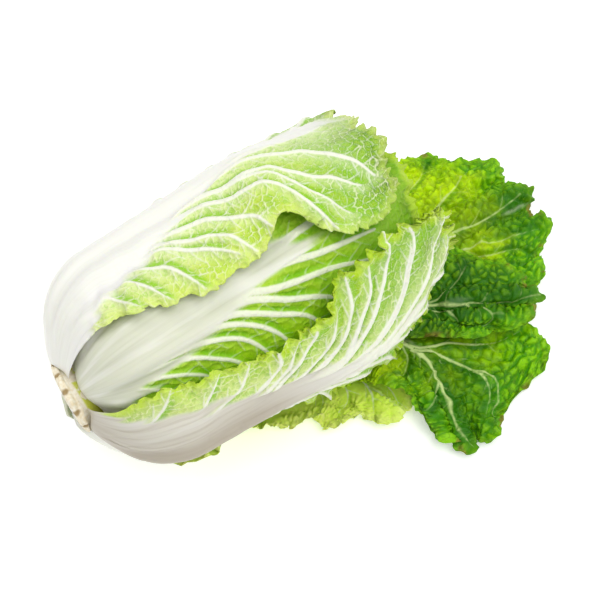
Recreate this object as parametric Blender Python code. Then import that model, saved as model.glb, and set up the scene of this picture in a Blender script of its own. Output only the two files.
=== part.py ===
"""A barrel-headed Chinese cabbage lying on its side, with four loose outer leaves spread under it.

Metres, +Z up. The head's axis runs along +X, cut stem at -X and leaf tips at +X. The origin is the spot
on the table under the middle of the head. Angles round the head are in degrees: 0 is the top, 90 the near
side at -Y, 180 the underside. Every leaf is laid over what already lies under it, from the heart out,
so that no two leaves cross. The loose leaves follow the head's rounded base, then lie flat on the table.
"""

import math
from types import SimpleNamespace

import bpy
import numpy as np

# Driving dimensions of the head.
HEAD_LENGTH = 0.300
AXIS_HEIGHT = 0.0995
CUT_END_X = -HEAD_LENGTH / 2 - 0.0045
CUT_SLANT_Y = 0.13
CUT_SLANT_Z = -0.12
STEM_RADIUS = 0.0265
STEM_END_X = -0.1253
SCARS = 11

# The rounded base turns about a ring round the axis. "Along" is the way from the stem over the base and
# on towards the tips; "depth" is the distance out from the ring, square to that way.
RING_RADIUS = 0.027
RING_X = -HEAD_LENGTH / 2 + 0.058
BASE_BEND = 0.050
BASE_ALONG = BASE_BEND * math.pi / 2
LEAF_START = 0.002

# Close to the stem the leaf bases run out along it.
BASE_FLARE = 0.003
FLARE_ALONG = 0.024

# Natural depth of the outer leaves, as (along, depth), and of the dense heart inside them.
HEAD_PROFILE = [(0, 0.049), (0.04, 0.049), (0.08, 0.051), (0.13, 0.054), (0.19, 0.056), (0.22, 0.053),
                (0.245, 0.049), (0.265, 0.045), (0.285, 0.039), (0.305, 0.029), (0.325, 0.014),
                (0.36, -0.010)]
HEART_PROFILE = [(0, 0.027), (0.04, 0.030), (0.08, 0.034), (0.13, 0.036), (0.18, 0.037), (0.21, 0.034),
                 (0.235, 0.027), (0.255, 0.016), (0.270, 0.000), (0.278, -0.027)]
HEART_ALONG_END = HEART_PROFILE[-1][0]

# Two whorls of short leaf tips that grow out of the heart: start and end along it, and how far clear.
HEART_TIP_PROFILE = [(0.14, 0.036), (0.18, 0.037), (0.21, 0.035), (0.235, 0.030), (0.255, 0.022),
                     (0.275, 0.011), (0.290, 0.000), (0.300, -0.010)]
HEART_TIPS = [(0.150, 0.284, 0.0012), (0.140, 0.292, 0.0044)]
TIPS_IN_WHORL = 3
TIP_HALF_ANGLE = math.radians(52)
TIP_ROOT_DEPTH = 0.0025
HEART_COLOUR = (0.86, 0.90, 0.60)

# Leaf flesh. The rib's width, as a share of the leaf's, and its height both change along the leaf.
BLADE_THICKNESS = 0.0012
RIB_WIDTHS = [(0, 1.0), (0.15, 0.80), (0.45, 0.42), (0.8, 0.16), (1, 0.10)]
RIB_HEIGHTS = [(0, 1.0), (0.08, 1.0), (0.5, 0.62), (0.85, 0.22), (1, 0.08)]
LEAF_GAP = 0.0009

# The waves of the margin fan out from a point on the midrib, and the edge draws in between them.
FAN_FROM = 0.30
FAN_STRETCH = 3.2
EDGE_BAYS = 0.055
WAVES_FROM_MARGIN = 0.45
LIFT_ACROSS = 0.55

# The loose leaves follow the head's round up to here, and their way over the table is counted from here.
ROUND_END_ALONG = 0.095
SWAP_ALONG = (0.080, 0.112)
SWAP_X = RING_X + SWAP_ALONG[0] - BASE_ALONG
# Between these they come down from the head's underside to the table. They hug no further up its side
# than this share of its radius.
SETTLE_X = (-0.075, -0.016)
SIDE_REACH = 0.93
# Under the head they are pressed flat. Their waves come back between these, at its sides and its tip end.
PRESSED_Y = (0.050, 0.085)
PRESSED_X = (0.085, 0.125)

# Grids on which the laid leaves are recorded, and how many cells a leaf laid over them bridges.
ALONG_CELL = 0.0025
ALONG_CELLS = 150
ROUND_CELL = math.radians(2.5)
ROUND_CELLS = 144
TABLE_CELL = 0.003
TABLE_CORNER = np.array([-0.10, -0.21])
TABLE_CELLS = (130, 115)
REACH = 5


def curve(points, at):
    """A smooth curve through (position, value) points, read at the positions in at."""
    knots, values = np.array(points, float).T
    slopes = np.gradient(values, knots)
    at = np.asarray(at, float)
    i = np.clip(np.searchsorted(knots, at) - 1, 0, len(knots) - 2)
    span = knots[i + 1] - knots[i]
    f = np.clip((at - knots[i]) / span, 0, 1)
    rise = (3 - 2 * f) * f * f
    bend = f * (1 - f) * ((1 - f) * slopes[i] - f * slopes[i + 1]) * span
    return values[i] * (1 - rise) + values[i + 1] * rise + bend


def ease(at, start, end):
    """0 before start and 1 after end, with a smooth change between them."""
    f = np.clip((np.asarray(at, float) - start) / (end - start), 0, 1)
    return f * f * (3 - 2 * f)


def soft_max(a, b, width=0.004):
    """The larger of two heights, rounded off where they meet and never below either."""
    return (a + b + np.sqrt((a - b) ** 2 + width**2)) / 2


class Pile:
    """Heights of what has been laid so far, on a grid whose second side may wrap round."""

    def __init__(self, ground, corner, cell, wraps):
        self.heights = np.array(ground, float)
        self.corner = np.array(corner, float)
        self.cell = np.array(cell, float)
        self.wraps = wraps

    def slide(self, grid, steps, side):
        """The grid moved by some cells. Its edge repeats, or wraps round."""
        if side == 1 and self.wraps:
            return np.roll(grid, steps, 1)
        index = np.clip(np.arange(grid.shape[side]) - steps, 0, grid.shape[side] - 1)
        return np.take(grid, index, side)

    def lay(self, a, b, heights):
        """Raises each cell to the highest of the points that fall in it."""
        i = np.round((a.ravel() - self.corner[0]) / self.cell[0]).astype(int)
        j = np.round((b.ravel() - self.corner[1]) / self.cell[1]).astype(int)
        i = np.clip(i, 0, self.heights.shape[0] - 1)
        last = self.heights.shape[1]
        j = j % last if self.wraps else np.clip(j, 0, last - 1)
        np.maximum.at(self.heights, (i, j), heights.ravel())

    def cover(self):
        """A smooth cloth laid over the pile: nowhere below it, and bridging its steps."""
        grid = self.heights
        for side in (0, 1):
            grid = np.max([self.slide(grid, k, side) for k in range(-REACH, REACH + 1)], axis=0)
        half = REACH // 2
        for side in (0, 1, 0, 1):
            grid = np.mean([self.slide(grid, k, side) for k in range(-half, half + 1)], axis=0)
        return Pile(grid, self.corner, self.cell, self.wraps)

    def at(self, a, b):
        """The height at any point, read smoothly between the cells."""
        a, b = np.broadcast_arrays(np.asarray(a, float), np.asarray(b, float))
        fi = (a - self.corner[0]) / self.cell[0]
        fj = (b - self.corner[1]) / self.cell[1]
        i, j = np.floor(fi).astype(int), np.floor(fj).astype(int)
        weights_i, weights_j = cubic_weights(fi - i), cubic_weights(fj - j)
        total = np.zeros(a.shape)
        rows, columns = self.heights.shape
        for m in range(4):
            for n in range(4):
                row = np.clip(i + m - 1, 0, rows - 1)
                column = (j + n - 1) % columns if self.wraps else np.clip(j + n - 1, 0, columns - 1)
                total += weights_i[m] * weights_j[n] * self.heights[row, column]
        return total


def cubic_weights(f):
    """The four weights of a smooth curve through neighbouring cells."""
    return [
        ((2 - f) * f - 1) * f / 2,
        ((3 * f - 5) * f * f + 2) / 2,
        ((4 - 3 * f) * f + 1) * f / 2,
        (f - 1) * f * f / 2,
    ]


def on_head(along, angle, depth):
    """Points at a depth over the head's round, from the way along it and the angle round it in radians."""
    turn = np.minimum(along / BASE_BEND, math.pi / 2)
    straight = np.maximum(along - BASE_ALONG, 0)
    radius = RING_RADIUS + depth * np.sin(turn)
    x = RING_X + straight - depth * np.cos(turn) - BASE_FLARE * (1 - ease(along, 0, FLARE_ALONG))
    return np.stack([x, -radius * np.sin(angle), AXIS_HEIGHT + radius * np.cos(angle)], axis=-1)


def leaf(name, angle, length, left, right, **changes):
    """One leaf's measures. left and right are its half-widths, as (share of length, degrees) over the head.

    rib is the height of the midrib at the stem and fullness moves the leaf's natural depth. ruffle is the
    height of the waves at its margin, and lifts are (share of length, side from -1 to 1, spread, height).
    path and spread are for the loose leaves only: the midrib's way over the table and the two half-widths.
    """
    one = dict(name=name, angle=math.radians(angle), length=length, left=left, right=right, rib=0.0065,
               fullness=0.0, ruffle=0.004, waves=13, phase=0.0, wavy_from=0.1, lifts=(), shoulder=0.16,
               rows=24, columns=10, path=None, spread=None, colour=(0.62, 0.80, 0.28))
    one.update(changes)
    return SimpleNamespace(**one)


# From the heart out, as they grow: each leaf stands over the ones before it.
HEART_LEAF_SIDE = [(0, 50), (0.3, 55), (0.7, 62), (1, 56)]
HEAD_LEAVES = [
    leaf("inner_leaf_1", 200, 0.300, HEART_LEAF_SIDE, HEART_LEAF_SIDE, rib=0.003, fullness=-0.016, waves=18,
         wavy_from=0.75, rows=16, columns=8, colour=(0.83, 0.89, 0.50)),
    leaf("inner_leaf_2", -20, 0.302, HEART_LEAF_SIDE, HEART_LEAF_SIDE, rib=0.004, fullness=-0.016, waves=18,
         phase=1.0, wavy_from=0.75, rows=16, columns=8, colour=(0.83, 0.89, 0.50)),
    leaf("inner_leaf_3", 100, 0.304, HEART_LEAF_SIDE, HEART_LEAF_SIDE, rib=0.004, fullness=-0.015, waves=18,
         phase=2.0, wavy_from=0.75, rows=16, columns=8, colour=(0.80, 0.88, 0.45)),
    leaf("back_leaf", -120, 0.318, [(0, 48), (0.4, 58), (0.75, 66), (1, 60)],
         [(0, 48), (0.4, 58), (0.75, 70), (1, 64)], rib=0.004, fullness=-0.008, ruffle=0.005, wavy_from=0.6,
         phase=0.6, rows=22, colour=(0.50, 0.72, 0.20)),
    leaf("front_leaf", 25, 0.304, [(0, 46), (0.4, 56), (0.75, 66), (1, 60)],
         [(0, 46), (0.4, 56), (0.75, 66), (1, 60)], fullness=-0.006, wavy_from=0.65, phase=2.2,
         colour=(0.70, 0.83, 0.36)),
    leaf("under_leaf", 166, 0.304, [(0, 46), (0.4, 56), (0.75, 60), (1, 54)],
         [(0, 46), (0.4, 56), (0.75, 60), (1, 54)], rib=0.003, fullness=-0.011, ruffle=0.003, wavy_from=0.8,
         phase=1.2, rows=20, columns=8, colour=(0.60, 0.78, 0.30)),
    leaf("far_leaf", -46, 0.300, [(0, 46), (0.4, 58), (0.75, 66), (1, 56)],
         [(0, 46), (0.14, 46), (0.19, 49), (0.25, 53), (0.33, 59), (0.41, 63), (0.53, 65), (0.59, 62),
          (0.635, 58), (0.68, 55), (0.71, 58), (0.74, 68), (0.78, 74), (0.83, 76), (0.92, 77), (1, 70)],
         ruffle=0.0045, phase=0.3, lifts=((0.68, 0.85, 0.10, 0.010), (0.85, 0.9, 0.12, 0.003)), shoulder=0.04,
         rows=32, columns=12, waves=24, colour=(0.72, 0.86, 0.38)),
    leaf("near_leaf", 90, 0.322,
         [(0, 40), (0.095, 41), (0.173, 49), (0.265, 47), (0.343, 44), (0.42, 39), (0.55, 39), (0.61, 43),
          (0.65, 51), (0.69, 57), (0.74, 59), (0.79, 58), (0.85, 57), (0.90, 57), (1, 46)],
         [(0, 46), (0.3, 50), (0.45, 44), (0.55, 36), (0.65, 32), (0.9, 31), (1, 40)], fullness=0.001,
         ruffle=0.0045, phase=1.7, shoulder=0.05,
         lifts=((0.70, -0.85, 0.12, 0.008), (0.68, 0.35, 0.20, 0.012), (0.74, 1.0, 0.20, 0.012)),
         rows=32, columns=12, waves=24, colour=(0.72, 0.86, 0.38)),
]
LOOSE_LEAVES = [
    leaf("loose_leaf_1", 190, 0.400, [(0, 26), (0.2, 32), (0.3, 36)], [(0, 26), (0.2, 32), (0.3, 36)],
         rib=0.0025, fullness=-0.008, ruffle=0.007, waves=25, phase=0.5, rows=32, columns=12,
         path=[(-0.0755, 0.015), (0.02, -0.014), (0.10, -0.050), (0.150, -0.078), (0.205, -0.112)],
         spread=[(0.095, 0.047, 0.047), (0.20, 0.044, 0.052), (0.28, 0.030, 0.056), (0.336, 0.034, 0.058),
                 (0.363, 0.040, 0.050), (0.40, 0.040, 0.032)], colour=(0.22, 0.48, 0.08)),
    leaf("loose_leaf_2", 170, 0.385, [(0, 26), (0.2, 32), (0.3, 36)], [(0, 26), (0.2, 32), (0.3, 36)],
         rib=0.0025, fullness=-0.008, ruffle=0.007, waves=25, phase=1.4, rows=32, columns=12, shoulder=0.10,
         path=[(-0.0755, -0.015), (0.01, -0.031), (0.062, -0.050), (0.090, -0.077), (0.098, -0.105),
               (0.095, -0.135), (0.083, -0.183)],
         spread=[(0.095, 0.045, 0.047), (0.20, 0.044, 0.050), (0.276, 0.042, 0.062), (0.305, 0.038, 0.080),
                 (0.325, 0.034, 0.092), (0.337, 0.032, 0.091), (0.347, 0.030, 0.076), (0.359, 0.030, 0.050),
                 (0.369, 0.031, 0.046), (0.385, 0.027, 0.045)],
         colour=(0.20, 0.45, 0.08)),
    leaf("loose_leaf_3", 152, 0.279, [(0, 18), (0.15, 19), (0.25, 24), (0.4, 30)], [(0, 28), (0.4, 34)],
         rib=0.0025, fullness=-0.008, ruffle=0.007, waves=22, lifts=((0.34, -1.0, 0.09, 0.009),), phase=2.6,
         rows=32, columns=12, shoulder=0.12,
         path=[(-0.0755, -0.040), (-0.02, -0.044), (0.02, -0.055), (0.045, -0.078), (0.054, -0.104),
               (0.052, -0.130)],
         spread=[(0.095, 0.032, 0.044), (0.14, 0.036, 0.044), (0.18, 0.043, 0.044), (0.21, 0.049, 0.043),
                 (0.245, 0.042, 0.036), (0.265, 0.032, 0.030), (0.279, 0.026, 0.026)],
         colour=(0.36, 0.62, 0.10)),
    leaf("loose_leaf_4", 212, 0.438, [(0, 30), (0.2, 36), (0.3, 40)], [(0, 28), (0.2, 34), (0.3, 36)],
         rib=0.0025, fullness=-0.008, ruffle=0.007, waves=26, rows=32, columns=12, shoulder=0.13,
         path=[(-0.0755, 0.044), (0.05, 0.014), (0.18, -0.022), (0.266, -0.035)],
         spread=[(0.095, 0.056, 0.040), (0.22, 0.078, 0.070), (0.32, 0.083, 0.080), (0.385, 0.082, 0.080),
                 (0.41, 0.086, 0.078), (0.438, 0.082, 0.072)], colour=(0.24, 0.52, 0.06)),
]


def half_width(one, u, v):
    """Half the leaf's width over the head, in radians, on the side that v is on."""
    degrees = np.where(v < 0, curve(one.left, u), curve(one.right, u))
    return np.radians(degrees) * edge_reach(one, u, v)


def margin(u, v):
    """How near a point is to the leaf's edge: 0 in the middle and 1 at the sides and the tip."""
    return np.clip(np.maximum(np.abs(v), (u - 0.45) / 0.55), 0, 1)


def swell(one, u, v):
    """Waves from 0 to 1 that fan out from the midrib, uneven in length."""
    fan = np.arctan2(v, FAN_STRETCH * (u - FAN_FROM))
    return 0.5 + 0.5 * np.sin(one.waves * fan + one.phase + 2.0 * np.sin(3 * fan + one.phase))


def edge_reach(one, u, v):
    """How much of the leaf's full width it has here: the edge draws in between its waves."""
    return 1 - EDGE_BAYS * (1 - swell(one, u, np.sign(v))) * ease(u, one.wavy_from, one.wavy_from + 0.2)


def travel_along(one, u, v):
    """The way from the stem to a point of the leaf. The sides end short of the tip, which is wavy too."""
    reach = one.length * (1 - one.shoulder * np.abs(v) ** 2.5)
    reach = reach * (1 - EDGE_BAYS / 2 * (1 - swell(one, np.ones_like(v), v)) * u**4)
    return LEAF_START + u * (reach - LEAF_START)


def ruffle(one, u, v):
    """How far the waves lift the leaf outwards. They grow towards the edge."""
    grow = ease(margin(u, v), WAVES_FROM_MARGIN, 1.0) * ease(u, one.wavy_from, one.wavy_from + 0.2)
    lift = one.ruffle * swell(one, u, v) * grow
    for share, side, spread, height in one.lifts:
        lift = lift + height * np.exp(-(((u - share) / spread) ** 2) - ((v - side) / LIFT_ACROSS) ** 2)
    if one.path:
        lift = lift * free_of_head(*face_over_table(one, u, v))
    return lift


def thickness(one, u, v):
    """The flesh: a thin blade, and a midrib as wide as the leaf at the stem that narrows to a thread."""
    across = np.clip(np.abs(v) / np.interp(u, *zip(*RIB_WIDTHS)), 0, 1)
    return BLADE_THICKNESS + one.rib * np.interp(u, *zip(*RIB_HEIGHTS)) * (1 - across**2) ** 2


def natural_depth(one, along):
    """The depth a leaf keeps of its own accord, where nothing under it pushes it out."""
    return curve(HEAD_PROFILE, along) + one.fullness


def over_head(one, u, v):
    """The leaf's place on the head: the way along, the angle, and the depths of its inner and outer face."""
    along = travel_along(one, u, v)
    angle = one.angle + half_width(one, u, v) * v
    inner = soft_max(one.cover.at(along, angle) + LEAF_GAP, natural_depth(one, along)) + ruffle(one, u, v)
    return along, angle, inner, inner + thickness(one, u, v)


def path_over_table(one, travel):
    """The midrib's way over the table: its points and its headings, after some travel from the stem."""
    knots = np.array(one.path, float)
    steps = np.concatenate([[0], np.cumsum(np.linalg.norm(np.diff(knots, axis=0), axis=1))])
    share = np.linspace(0, steps[-1], 200)
    line = np.stack([curve(np.column_stack([steps, knots[:, k]]), share) for k in (0, 1)], axis=1)
    real = np.concatenate([[0], np.cumsum(np.linalg.norm(np.diff(line, axis=0), axis=1))])
    heading = np.gradient(line, real, axis=0)
    gone = (travel - ROUND_END_ALONG) * real[-1] / (one.length - ROUND_END_ALONG)
    x, y, hx, hy = [np.interp(gone, real, column) for column in (*line.T, *heading.T)]
    before = np.minimum(gone, 0)
    return x + before * heading[0, 0], y + before * heading[0, 1], hx, hy


def face_over_table(one, u, v):
    """Where the loose leaf lies seen from above, in x and y."""
    travel = travel_along(one, u, v)
    x, y, hx, hy = path_over_table(one, travel)
    spread = np.array(one.spread)
    width = np.where(v < 0, curve(spread[:, [0, 1]], travel), curve(spread[:, [0, 2]], travel))
    width = width * edge_reach(one, u, v)
    return x - v * width * hy, y + v * width * hx


def under_head(one, x, y):
    """Where a loose leaf hugs the head's underside, from x and y: the way along, angle and inner depth."""
    along = BASE_ALONG + x - RING_X
    depth = np.full(np.shape(x), HEAD_PROFILE[3][1])
    for _ in range(5):
        angle = math.pi + np.arcsin(np.clip(y / (RING_RADIUS + depth), -SIDE_REACH, SIDE_REACH))
        depth = soft_max(one.cover.at(along, angle) + LEAF_GAP, natural_depth(one, along))
    return along, angle, depth


def free_of_head(x, y):
    """0 where the head's weight presses a loose leaf flat, 1 out beyond the head."""
    return 1 - (1 - ease(np.abs(y), *PRESSED_Y)) * (1 - ease(x, *PRESSED_X))


def loose_faces(one, u, v):
    """Points of a loose leaf's inner and outer face: round the head's base, then down on the table."""
    flesh = thickness(one, u, v)
    along = travel_along(one, u, v)
    angle = one.angle + half_width(one, u, v) * v
    short = np.minimum(along, SWAP_ALONG[1])
    x, y = face_over_table(one, u, v)
    wave = ruffle(one, u, v)
    inner_depth = soft_max(one.cover.at(short, angle) + LEAF_GAP, natural_depth(one, short)) + wave
    settled = ease(x, *SETTLE_X)
    table = one.table.at(x, y) + wave
    swap = ease(along, *SWAP_ALONG)[..., None]
    _, under_angle, under_depth = under_head(one, x, y)
    faces = []
    for inside in (True, False):
        on_round = on_head(short, angle, inner_depth if inside else inner_depth + flesh)
        reach = RING_RADIUS + under_depth + wave + (0 if inside else flesh)
        flat = table + (flesh if inside else 0)
        hugging = soft_max(AXIS_HEIGHT + reach * np.cos(under_angle), flat, 0.002)
        height = hugging * (1 - settled) + flat * settled
        faces.append(on_round * (1 - swap) + np.stack([x, y, height], axis=-1) * swap)
    return faces


def leaf_shares(rows, columns):
    """The rows and columns of a leaf's mesh, as shares of its length and sides from -1 to 1."""
    return np.meshgrid(np.linspace(0, 1, rows + 1), np.linspace(-1, 1, columns + 1), indexing="ij")


def material(name, colour, roughness):
    """A plain plant-flesh material."""
    made = bpy.data.materials.new(name)
    made.use_nodes = True
    shader = made.node_tree.nodes["Principled BSDF"]
    shader.inputs["Base Color"].default_value = (*colour, 1)
    shader.inputs["Roughness"].default_value = roughness
    shader.inputs["Metallic"].default_value = 0
    return made


def new_object(name, points, triangles, colour, roughness=0.5):
    """A mesh object of its own material, shaded smooth."""
    mesh = bpy.data.meshes.new(name)
    mesh.from_pydata([tuple(p) for p in points], [], [tuple(int(i) for i in t) for t in triangles])
    mesh.shade_smooth()
    mesh.materials.append(material(name, colour, roughness))
    made = bpy.data.objects.new(name, mesh)
    bpy.context.scene.collection.objects.link(made)
    return made


def skin(rows, columns, first, flip):
    """Triangles of a face of rows by columns, split the same way on both faces of a leaf."""
    found = []
    for i in range(rows):
        for j in range(columns):
            a = first + i * (columns + 1) + j
            b, c, d = a + 1, a + columns + 1, a + columns + 2
            pair = [(a, c, b), (b, c, d)] if (i + j) % 2 else [(a, c, d), (a, d, b)]
            found += [t[::-1] if flip else t for t in pair]
    return found


def leaf_solid(name, inner, outer, colour):
    """The closed solid between a leaf's two faces."""
    rows, columns = inner.shape[0] - 1, inner.shape[1] - 1
    across = columns + 1
    count = inner.shape[0] * across
    triangles = skin(rows, columns, 0, False) + skin(rows, columns, count, True)
    edge = [j for j in range(columns)] + [i * across + columns for i in range(rows)]
    edge += [rows * across + j for j in range(columns, 0, -1)] + [i * across for i in range(rows, 0, -1)]
    for a, b in zip(edge, edge[1:] + edge[:1]):
        triangles += [(a, b, b + count), (a, b + count, a + count)]
    points = np.concatenate([inner.reshape(-1, 3), outer.reshape(-1, 3)])
    return new_object(name, points, triangles, colour)


def rings_solid(name, rings, start, end, colour):
    """The closed solid through rings of points, each with as many points, from a start to an end point."""
    count, sides = rings.shape[0], rings.shape[1]
    triangles = []
    for i in range(count - 1):
        for j in range(sides):
            a, b = i * sides + j, i * sides + (j + 1) % sides
            triangles += [(a, b, b + sides), (a, b + sides, a + sides)]
    first, last, final = count * sides, count * sides + 1, (count - 1) * sides
    for j in range(sides):
        k = (j + 1) % sides
        triangles += [(first, k, j), (last, final + j, final + k)]
    return new_object(name, np.vstack([rings.reshape(-1, 3), start, end]), triangles, colour)


def heart_tip(name, whorl, angle):
    """A leaf tip that grows out of the heart, with its root under the heart's surface."""
    start, end, clear = HEART_TIPS[whorl]
    u, v = leaf_shares(6, 6)
    along = start + u * (end - start) * (1 - 0.14 * v**2)
    turn = angle + TIP_HALF_ANGLE * (1 - 0.25 * u) * v
    wave = 0.0012 * (1 + np.sin(9 * v + angle)) * ease(u, 0.5, 1.0)
    under = curve(HEART_PROFILE, along) - TIP_ROOT_DEPTH
    over = curve(HEART_TIP_PROFILE, along) + clear + wave
    inner = under + (over - under) * ease(u, 0.02, 0.35)
    outer = inner + BLADE_THICKNESS
    made = leaf_solid(name, on_head(along, turn, inner), on_head(along, turn, outer), HEART_COLOUR)
    return made, along, turn, outer


def heart_tips():
    """All the heart's leaf tips, with the points of their outer faces."""
    step = 2 * math.pi / TIPS_IN_WHORL
    return [heart_tip(f"tip_{whorl}_{k}", whorl, (k + whorl / 2) * step + 0.4)
            for whorl in range(len(HEART_TIPS)) for k in range(TIPS_IN_WHORL)]


def fuse(body, extras):
    """Joins the extras into the body as one closed solid and takes the extras away."""
    group = bpy.data.collections.new("extras")
    for one in extras:
        group.objects.link(one)
    joined = body.modifiers.new("joined", "BOOLEAN")
    joined.operation = "UNION"
    joined.operand_type = "COLLECTION"
    joined.collection = group
    joined.solver = "EXACT"
    bpy.context.view_layer.objects.active = body
    bpy.ops.object.modifier_apply(modifier=joined.name)
    for one in extras:
        bpy.data.objects.remove(one, do_unlink=True)
    bpy.data.collections.remove(group)
    body.data.shade_smooth()


def heart(tips):
    """The dense inner head, closed at both ends, with short leaf tips growing out of it."""
    sides = 20
    along = np.concatenate([[LEAF_START], np.linspace(0.02, HEART_ALONG_END - 0.002, 13)])
    angle = np.arange(sides) * 2 * math.pi / sides
    along, angle = np.meshgrid(along, angle, indexing="ij")
    rings = on_head(along, angle, curve(HEART_PROFILE, along))
    end = on_head(np.array(HEART_ALONG_END + 0.002), np.array(0.0), np.array(-RING_RADIUS))
    core = rings_solid("heart", rings, rings[0].mean(0), end, HEART_COLOUR)
    fuse(core, tips)


def stem():
    """The short stem, cut aslant, with a ring of scars where the first leaves were snapped off."""
    sides = 3 * SCARS
    angle = np.arange(sides) * 2 * math.pi / sides
    scar = 0.5 + 0.5 * np.cos(SCARS * angle)
    profile = [
        (CUT_END_X, 0.86, 0.0),
        (CUT_END_X + 0.0012, 0.95, 0.0006),
        (CUT_END_X + 0.0035, 1.00, 0.0018),
        (CUT_END_X + 0.0060, 0.99, 0.0012),
        (CUT_END_X + 0.0080, 0.95, 0.0),
        (STEM_END_X, 0.95, 0.0),
    ]
    rings = []
    for x, share, bump in profile:
        reach = STEM_RADIUS * share + bump * scar
        y, up = -reach * np.sin(angle), reach * np.cos(angle)
        slant = (CUT_SLANT_Y * y + CUT_SLANT_Z * up) * (1 - ease(x, CUT_END_X, STEM_END_X))
        rings.append(np.stack([x + slant, y, AXIS_HEIGHT + up], axis=1))
    ends = [(CUT_END_X, 0, AXIS_HEIGHT), (STEM_END_X, 0, AXIS_HEIGHT)]
    rings_solid("stem", np.array(rings), *ends, (0.88, 0.84, 0.70))


def clear_scene():
    for one in list(bpy.data.objects):
        bpy.data.objects.remove(one, do_unlink=True)


def lay_leaves(tips):
    """Gives every leaf what it lies on: the head from the heart out, then the table from below up."""
    along = np.arange(ALONG_CELLS) * ALONG_CELL
    start = np.where(along < HEART_ALONG_END, curve(HEART_PROFILE, along), -RING_RADIUS)
    ground = np.repeat(start[:, None], ROUND_CELLS, axis=1)
    head = Pile(ground, (0, 0), (ALONG_CELL, ROUND_CELL), wraps=True)
    for _, reach, angle, outer in tips:
        head.lay(reach, angle, outer)
    u, v = leaf_shares(180, 120)
    for one in HEAD_LEAVES + LOOSE_LEAVES:
        one.cover = head.cover()
        reach, angle, _, outer = over_head(one, u, v)
        kept = reach < (SWAP_ALONG[1] if one.path else 1)
        head.lay(reach[kept], angle[kept], outer[kept])
        if one.path:
            x, y = face_over_table(one, u, v)
            reach, angle, inner = under_head(one, x, y)
            outer = inner + ruffle(one, u, v) + thickness(one, u, v)
            kept = (x > SWAP_X) & (x < 0)
            head.lay(reach[kept], angle[kept], outer[kept])
    table = Pile(np.zeros(TABLE_CELLS), TABLE_CORNER, (TABLE_CELL, TABLE_CELL), wraps=False)
    for k, one in enumerate(reversed(LOOSE_LEAVES)):
        one.table = table.cover()
        one.table.heights += LEAF_GAP if k else 0
        x, y = face_over_table(one, u, v)
        table.lay(x, y, one.table.at(x, y) + ruffle(one, u, v) + thickness(one, u, v))


def main():
    clear_scene()
    tips = heart_tips()
    lay_leaves(tips)
    stem()
    heart([tip[0] for tip in tips])
    for one in HEAD_LEAVES:
        u, v = leaf_shares(one.rows, one.columns)
        along, angle, inner, outer = over_head(one, u, v)
        leaf_solid(one.name, on_head(along, angle, inner), on_head(along, angle, outer), one.colour)
    for one in LOOSE_LEAVES:
        u, v = leaf_shares(one.rows, one.columns)
        leaf_solid(one.name, *loose_faces(one, u, v), one.colour)


main()
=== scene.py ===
# %% [markdown]
# # A Chinese cabbage with its loose outer leaves
# The solids of this cabbage are already packed: a cut stem, a dense heart, eight leaves wrapped round
# it and four loose leaves spread under it. This lesson replaces each of them with a finer mesh of the
# same form, grows the veins and the crinkled net between them, and gives every surface its finish.

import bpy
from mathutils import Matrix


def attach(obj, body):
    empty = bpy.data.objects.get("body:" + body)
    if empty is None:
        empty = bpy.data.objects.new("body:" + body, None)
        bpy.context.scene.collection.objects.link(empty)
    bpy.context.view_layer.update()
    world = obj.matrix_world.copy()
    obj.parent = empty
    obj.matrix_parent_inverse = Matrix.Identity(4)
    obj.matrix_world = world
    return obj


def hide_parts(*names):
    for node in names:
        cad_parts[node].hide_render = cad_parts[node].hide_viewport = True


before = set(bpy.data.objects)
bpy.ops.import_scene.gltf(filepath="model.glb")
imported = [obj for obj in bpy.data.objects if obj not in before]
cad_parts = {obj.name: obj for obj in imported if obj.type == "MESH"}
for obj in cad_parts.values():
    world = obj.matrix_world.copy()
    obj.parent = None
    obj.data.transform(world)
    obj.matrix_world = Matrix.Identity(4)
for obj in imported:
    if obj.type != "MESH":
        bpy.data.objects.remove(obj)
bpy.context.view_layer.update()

# %% Modules
import math
from types import SimpleNamespace

import bpy
import numpy as np
from mathutils import Vector
from mathutils.kdtree import KDTree

# %% [markdown]
# ## Camera
# The photograph looks down on the cabbage from above its near side, with the cut stem at lower left.
# A long lens at about a metre keeps the head's two ends at nearly the same scale. The camera could be
# aimed by a constraint, but a rotation worked out once is plainer and nothing can move it later.

# %% Camera
VIEW_AZIMUTH = math.radians(-35.5)
VIEW_ELEVATION = math.radians(65)
VIEW_DISTANCE = 1.06
VIEW_CENTRE = Vector((0.030, -0.025, 0.0785))
LENS_MM = 85
SENSOR_MM = 36

towards_camera = Vector((
    math.sin(VIEW_AZIMUTH) * math.cos(VIEW_ELEVATION),
    -math.cos(VIEW_AZIMUTH) * math.cos(VIEW_ELEVATION),
    math.sin(VIEW_ELEVATION),
))
camera = bpy.data.objects.new("camera", bpy.data.cameras.new("camera"))
camera.data.lens = LENS_MM
camera.data.sensor_width = SENSOR_MM
camera.location = VIEW_CENTRE + towards_camera * VIEW_DISTANCE
camera.rotation_mode = "QUATERNION"
camera.rotation_quaternion = (-towards_camera).to_track_quat("-Z", "Y")
bpy.context.scene.collection.objects.link(camera)
bpy.context.scene.camera = camera
print("camera at", [round(part, 3) for part in camera.location])

# %% [markdown]
# ## Studio
# The cabbage lies in soft, even light. The brightest side of the head is the one away from the camera, so
# one square lamp stands behind it to the left, and a stronger one lights the near right. A white sky
# fills the shadows. The standard view transform keeps the greens as saturated as in the photograph.

# %% Lamps and sky
LAMPS = {
    "key": dict(place=(-0.45, 0.62, 1.45), size=1.3, power=6.8),
    "fill": dict(place=(0.45, -0.50, 1.55), size=1.2, power=14.0),
}
SKY_STRENGTH = 0.52


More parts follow.
